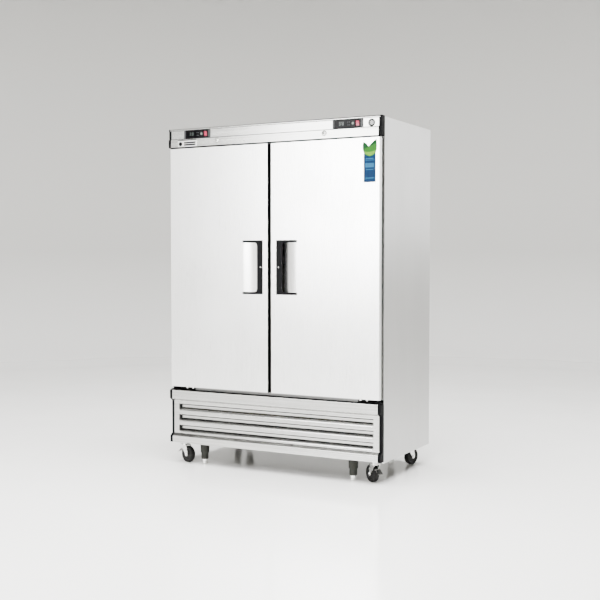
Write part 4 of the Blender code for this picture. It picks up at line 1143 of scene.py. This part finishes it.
def back_details():
    """Fixing screws round the panel, a blank rating plate and the cord collar's grommet."""
    low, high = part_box("back_panel")
    face = high.y
    left, right, foot, head = low.x + 0.035, high.x - 0.035, low.z + 0.020, high.z - 0.020
    places = [(x, face, z) for x in evenly(left, right, 6) for z in (head, foot)]
    places += [(x, face, z) for z in evenly(foot, head, 7)[1:-1] for x in (left, right)]
    screws("back_panel_screws", places, TO_BACK, 0.0050, 0.0013, "cabinet")
    plate = rounded_outline(0.055, 0.035, 0.003)
    about = Matrix.Rotation(math.pi, 4, "Z")
    spot = (-0.30, face, 0.62)
    slab_piece("rating_plate", plate, 0.0006, spot, SATIN_ALUMINIUM, "cabinet", about)
    grommet = [(0.0050, 0), (0.0170, 0), (0.0170, 0.0007), (0.0140, 0.0014), (0.0050, 0.0014)]
    spot = (-0.520, face, 0.300)
    turned_piece("cord_grommet", grommet, spot, TO_BACK, 40, RUBBER, "cabinet")


def top_screws():
    low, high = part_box("top_panel")
    rows = (low.y + 0.030, high.y - 0.030)
    places = [(x, y, high.z) for x in evenly(low.x + 0.04, high.x - 0.04, 5) for y in rows]
    screws("top_panel_screws", places, AS_DRAWN, 0.0050, 0.0020, "cabinet")


for name, side in SIDES:
    controller_details(name)
    door_details(name, side)
    fan_guard(name)
    interior_lamp(name)
header_details()
frost_mark()
door_label()
hinge_screws()
grille()
black_trims()
base_pieces()
for corner in CORNERS:
    caster_pieces(corner)
    foot_piece(corner)
for node in sorted(nodes):
    if node.startswith("shelf_"):
        wire_shelf(node)
back_details()
top_screws()


# ---------------------------------------------------------------- studio
def studio():
    """A pale round stage: a floor that sweeps up into a low wall on every side."""
    floor_radius, sweep, wall_top, steps = 5.4, 1.7, 5.0, 12
    profile = [(0, 0), (2, 0), (4, 0), (floor_radius, 0)]
    for n in range(1, steps + 1):
        angle = math.pi / 2 * n / steps
        profile.append((floor_radius + sweep * math.sin(angle), sweep - sweep * math.cos(angle)))
    profile.append((floor_radius + sweep, wall_top))
    look = Look("studio_paper", (0.84, 0.835, 0.815), 0.16)
    matt, ground = 0.8, look.below("Z", 0.10, 0.08)
    gloss = look.tree.nodes.new("ShaderNodeMix")
    look.link(ground, gloss.inputs["Factor"])
    gloss.inputs[2].default_value = matt
    look.link(look.spread(look.noise(1.5), 0.14, 0.18), gloss.inputs[3])
    look.drive("Roughness", gloss.outputs[0])
    # The wall's darker colour is painted shade: the same paper, darker up the sweep.
    wall = (0.58, 0.575, 0.555)
    look.drive("Base Color", look.mix(look.below("Z", 0.6, 0.6), wall, look.colour))
    bm = bmesh.new()
    points = [bm.verts.new((radius, 0, height)) for radius, height in profile]
    edges = [bm.edges.new(pair) for pair in zip(points, points[1:])]
    whole = {"angle": 2 * math.pi, "steps": 96, "axis": (0, 0, 1), "cent": (0, 0, 0)}
    bmesh.ops.spin(bm, geom=points + edges, **whole)
    bmesh.ops.remove_doubles(bm, verts=bm.verts, dist=1e-5)
    bmesh.ops.recalc_face_normals(bm, faces=bm.faces)
    object_from(bm, "studio_floor", look.material)


def soft_light(name, place, aim, size, power, diffuse=True, glossy=True):
    """A soft rectangular light that lights surfaces or shows in them, or both."""
    data = bpy.data.lights.new(name, "AREA")
    data.shape = "RECTANGLE"
    data.size, data.size_y = size
    data.energy = power
    light = bpy.data.objects.new(name, data)
    light.location = place
    light.rotation_euler = (Vector(aim) - Vector(place)).to_track_quat("-Z", "Y").to_euler()
    light.visible_camera = False
    light.visible_diffuse = diffuse
    light.visible_glossy = glossy
    bpy.context.scene.collection.objects.link(light)


def dark_card(name, place, size):
    """A black flag that only reflections see."""
    bm = bmesh.new()
    bmesh.ops.create_cube(bm, size=1)
    card = object_from(bm, name, moulded(name, (0.01, 0.01, 0.01), 0.9, 50), 40)
    card.location = place
    card.scale = size
    card.rotation_euler.z = CAMERA_TURN
    card.visible_camera = card.visible_diffuse = card.visible_shadow = False


def world(strength):
    """Even, faintly warm light from above the stage."""
    made = bpy.data.worlds.new("studio_world")
    made.use_nodes = True
    backdrop = made.node_tree.nodes["Background"]
    backdrop.inputs["Color"].default_value = (1.0, 0.99, 0.965, 1)
    backdrop.inputs["Strength"].default_value = strength
    bpy.context.scene.world = made


studio()
world(0.345)
SURFACES, REFLECTIONS = {"glossy": False}, {"diffuse": False}
soft_light("overhead_wash", (0.5, -1.1, 4.8), (0.5, -1.0, 0), (5.0, 5.0), 1650, **SURFACES)
soft_light("front_wash", (-1.0, -4.6, 2.6), (0, 0, 0.9), (3.0, 3.0), 12, **SURFACES)
soft_light("near_floor_wash", (0.6, -4.4, 3.6), (1.0, -3.6, 0), (2.5, 1.5), 250, **SURFACES)
soft_light("front_panel", (-1.10, -4.4, 2.1), (-0.2, 0, 1.3), (2.2, 2.3), 300, **REFLECTIONS)
soft_light("rear_panel", (3.4, 5.4, 2.9), (0.6, 0, 1.2), (3.4, 3.4), 105, **REFLECTIONS)
dark_card("camera_flag", (3.5, -6.4, 1.2), (2.2, 0.02, 2.6))
